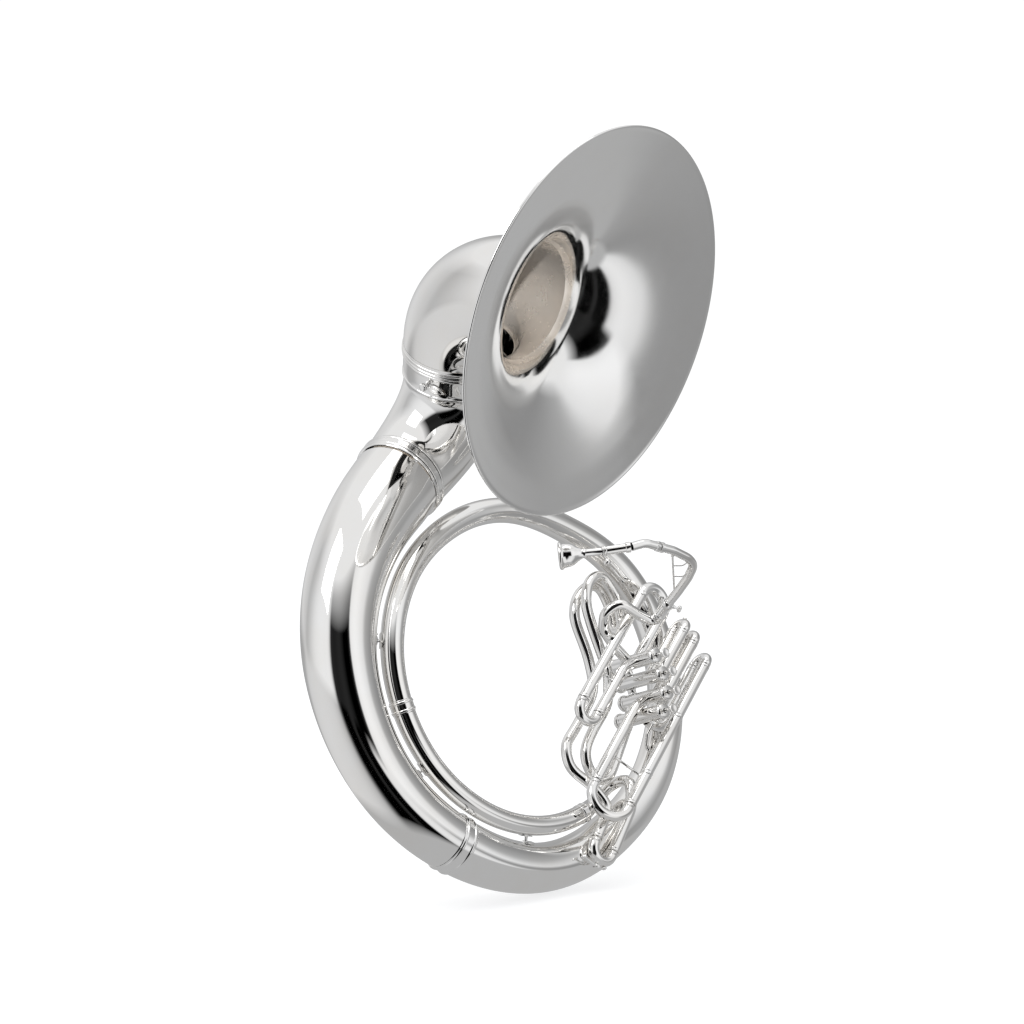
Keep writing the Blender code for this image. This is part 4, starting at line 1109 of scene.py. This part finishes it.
def build_floor(low):
    far = 20.0
    mesh = bpy.data.meshes.new("floor")
    mesh.from_pydata([(-far, -far, low), (far, -far, low), (far, far, low), (-far, far, low)],
                     [], [(0, 1, 2, 3)])
    floor = bpy.data.objects.new("floor", mesh)
    bpy.context.scene.collection.objects.link(floor)
    mesh.materials.append(plain("floor", 0.5, 0.66))


def tone_at(turn, reach, height):
    """Brightness of the studio shell: turn in degrees right of the camera, metres."""
    turn = max(-179.9, min(179.9, turn))
    ground = NEAR_TONE if reach < 0.45 else blend(GROUND, turn)[0]
    if height <= 0:
        return ground
    wall = blend(SHELL, turn)[0]
    tone = ground + (wall - ground) * min(1.0, height / 0.6)
    if height > 3.6:
        tone += (ROOM - tone) * min(1.0, (height - 3.6) / 2.4)
    return tone


def build_shell(axes, middle, low):
    """Hidden sheet round the object, seen only in its reflections."""
    front = Vector((axes[2].x, axes[2].y, 0)).normalized()
    right = Vector((axes[0].x, axes[0].y, 0)).normalized()
    rows = [(r, 0.0) for r in (0.05, 0.40, 0.50, 1.0, 2.0, 3.2, 3.7, 4.6)]
    rows += [(5.0, h) for h in (0.02, 0.25, 0.6, 1.0, 1.5, 2.2, 3.0, 3.6, 4.2, 5.0, 6.0)]
    count = 180
    verts = []
    tones = []
    for reach, height in rows:
        for k in range(count):
            turn = -180.0 + 360.0 * k / count
            a = math.radians(turn)
            out = front * math.cos(a) + right * math.sin(a)
            verts.append(Vector((middle.x, middle.y, low + 0.002 + height)) + out * reach)
            tones.append(max(0.0, tone_at(turn, reach, height)))
    faces = []
    for i in range(len(rows) - 1):
        bridge(faces, i * count, (i + 1) * count, count)
    mesh = bpy.data.meshes.new("shell")
    mesh.from_pydata([tuple(v) for v in verts], [], faces)
    mesh.update()
    layer = mesh.attributes.new("tone", "FLOAT", "POINT")
    for k, tone in enumerate(tones):
        layer.data[k].value = tone
    mat = plain("shell", 0.0, 1.0)
    reader = mat.node_tree.nodes.new("ShaderNodeAttribute")
    reader.attribute_name = "tone"
    mat.node_tree.links.new(reader.outputs["Fac"],
                            mat.node_tree.nodes["Principled BSDF"].inputs["Emission Strength"])
    mesh.materials.append(mat)
    obj = bpy.data.objects.new("shell", mesh)
    bpy.context.scene.collection.objects.link(obj)
    obj.visible_camera = False
    obj.visible_shadow = False
    obj.visible_diffuse = False


def facing(target, direction, distance, roll_up=Vector((0, 0, 1))):
    """Matrix of a card at a distance in a direction from the target, facing it."""
    d = direction.normalized()
    x = roll_up.cross(d).normalized()
    y = d.cross(x)
    rot = Matrix((x, y, d)).transposed().to_4x4()
    rot.translation = target + d * distance
    return rot


def swing(axes, right_deg, up_deg):
    """Direction seen from the object: degrees to the camera's right and above it."""
    a = math.radians(right_deg)
    e = math.radians(up_deg)
    level = axes[2] * math.cos(a) + axes[0] * math.sin(a)
    return level * math.cos(e) + axes[1] * math.sin(e)


def lamp(name, target, direction, distance, size, power):
    data = bpy.data.lights.new(name, "AREA")
    data.shape = "RECTANGLE"
    data.size = size[0]
    data.size_y = size[1]
    data.energy = power
    obj = bpy.data.objects.new(name, data)
    bpy.context.scene.collection.objects.link(obj)
    obj.matrix_world = facing(target, direction, distance)
    return obj


def throat_lamp(axes):
    """Narrow beam into the bell, so that its bore shows."""
    data = bpy.data.lights.new("throat_beam", "SPOT")
    data.energy = THROAT_WATTS
    data.spot_size = math.radians(THROAT_ANGLE)
    data.spot_blend = 0.6
    data.shadow_soft_size = 0.05
    obj = bpy.data.objects.new("throat_beam", data)
    bpy.context.scene.collection.objects.link(obj)
    target = world(BELL_CENTRE - BELL_AXIS * 200.0)
    obj.matrix_world = facing(target, swing(axes, 6.0, 4.0), 3.6)
    obj.visible_glossy = False


def build_studio(axes):
    middle = world((0, 0, 0)) + Vector((0, 0, 0.25))
    low = cad_box[0][2]
    build_floor(low - 0.004)
    build_shell(axes, middle, low - 0.003)
    for name, right, up, wide, high, away, power in LAMPS:
        lamp(name, middle, swing(axes, right, up), away, (wide, high), power)
    throat_lamp(axes)
    room = bpy.context.scene.world or bpy.data.worlds.new("room")
    bpy.context.scene.world = room
    room.use_nodes = True
    nodes = room.node_tree.nodes
    links = room.node_tree.links
    sky = nodes["Background"]
    sky.inputs["Color"].default_value = (0.99, 0.994, 1.0, 1.0)
    sky.inputs["Strength"].default_value = ROOM
    seen = nodes.new("ShaderNodeBackground")
    seen.inputs["Color"].default_value = (1.0, 1.0, 1.0, 1.0)
    seen.inputs["Strength"].default_value = 1.05
    mix = nodes.new("ShaderNodeMixShader")
    path = nodes.new("ShaderNodeLightPath")
    links.new(path.outputs["Is Camera Ray"], mix.inputs["Fac"])
    links.new(sky.outputs["Background"], mix.inputs[1])
    links.new(seen.outputs["Background"], mix.inputs[2])
    links.new(mix.outputs["Shader"], nodes["World Output"].inputs["Surface"])


# brightness of the studio's walls and of its floor by degrees right of the camera
SHELL = [
    (-180.0, 0.40), (-145.0, 0.70), (-114.0, 0.60), (-103.0, 0.50), (-73.0, 0.80), (-45.0, 0.86),
    (-31.0, 0.74), (-25.0, 0.06), (-22.0, 0.02), (0.0, 0.02), (35.0, 0.02), (37.0, 0.20),
    (40.0, 0.84), (80.0, 0.80), (92.0, 0.46), (102.0, 0.36), (125.0, 0.27), (150.0, 0.34),
    (180.0, 0.40),
]
GROUND = [
    (-180.0, 0.40), (-127.0, 0.42), (-109.0, 0.64), (-54.0, 0.68), (-32.0, 0.50), (-22.0, 0.02),
    (0.0, 0.02), (20.0, 0.02), (26.0, 0.72), (56.0, 0.74), (70.0, 0.34), (104.0, 0.34),
    (118.0, 0.42), (180.0, 0.40),
]
NEAR_TONE = 0.45
THROAT_WATTS = 800.0
THROAT_ANGLE = 3.4
# name, degrees right, degrees above, width, height, distance, watts
LAMPS = [
    ("key_left", -46.0, 40.0, 1.8, 1.8, 4.0, 26.0),
    ("top_soft", 20.0, 78.0, 2.0, 2.0, 3.4, 20.0),
]
ROOM = 0.84


def build_all():
    build_bell()
    build_elbow()
    build_collar()
    build_bell_screws()
    build_upper()
    build_coil()
    coil_brace("coil_brace_1", 171.5, 531.5)
    coil_brace("coil_brace_2", 215.0, 574.0)
    coil_brace("coil_brace_3", 263.0, 620.5)
    build_valves()
    build_first_valve()
    build_short_slide(2, 202.0, 259.0, 145.0)
    build_short_slide(3, 231.0, 257.0, 123.0)
    build_fourth_valve()
    build_wraps()
    build_tail()
    build_tuning_slide()
    build_mouthpipe()
    build_neck()
    build_mouthpiece()
    build_bits()
    build_fittings()
    build_water_key()


build_all()
view_axes = build_camera()
build_studio(view_axes)
bpy.context.scene.view_settings.view_transform = "Standard"
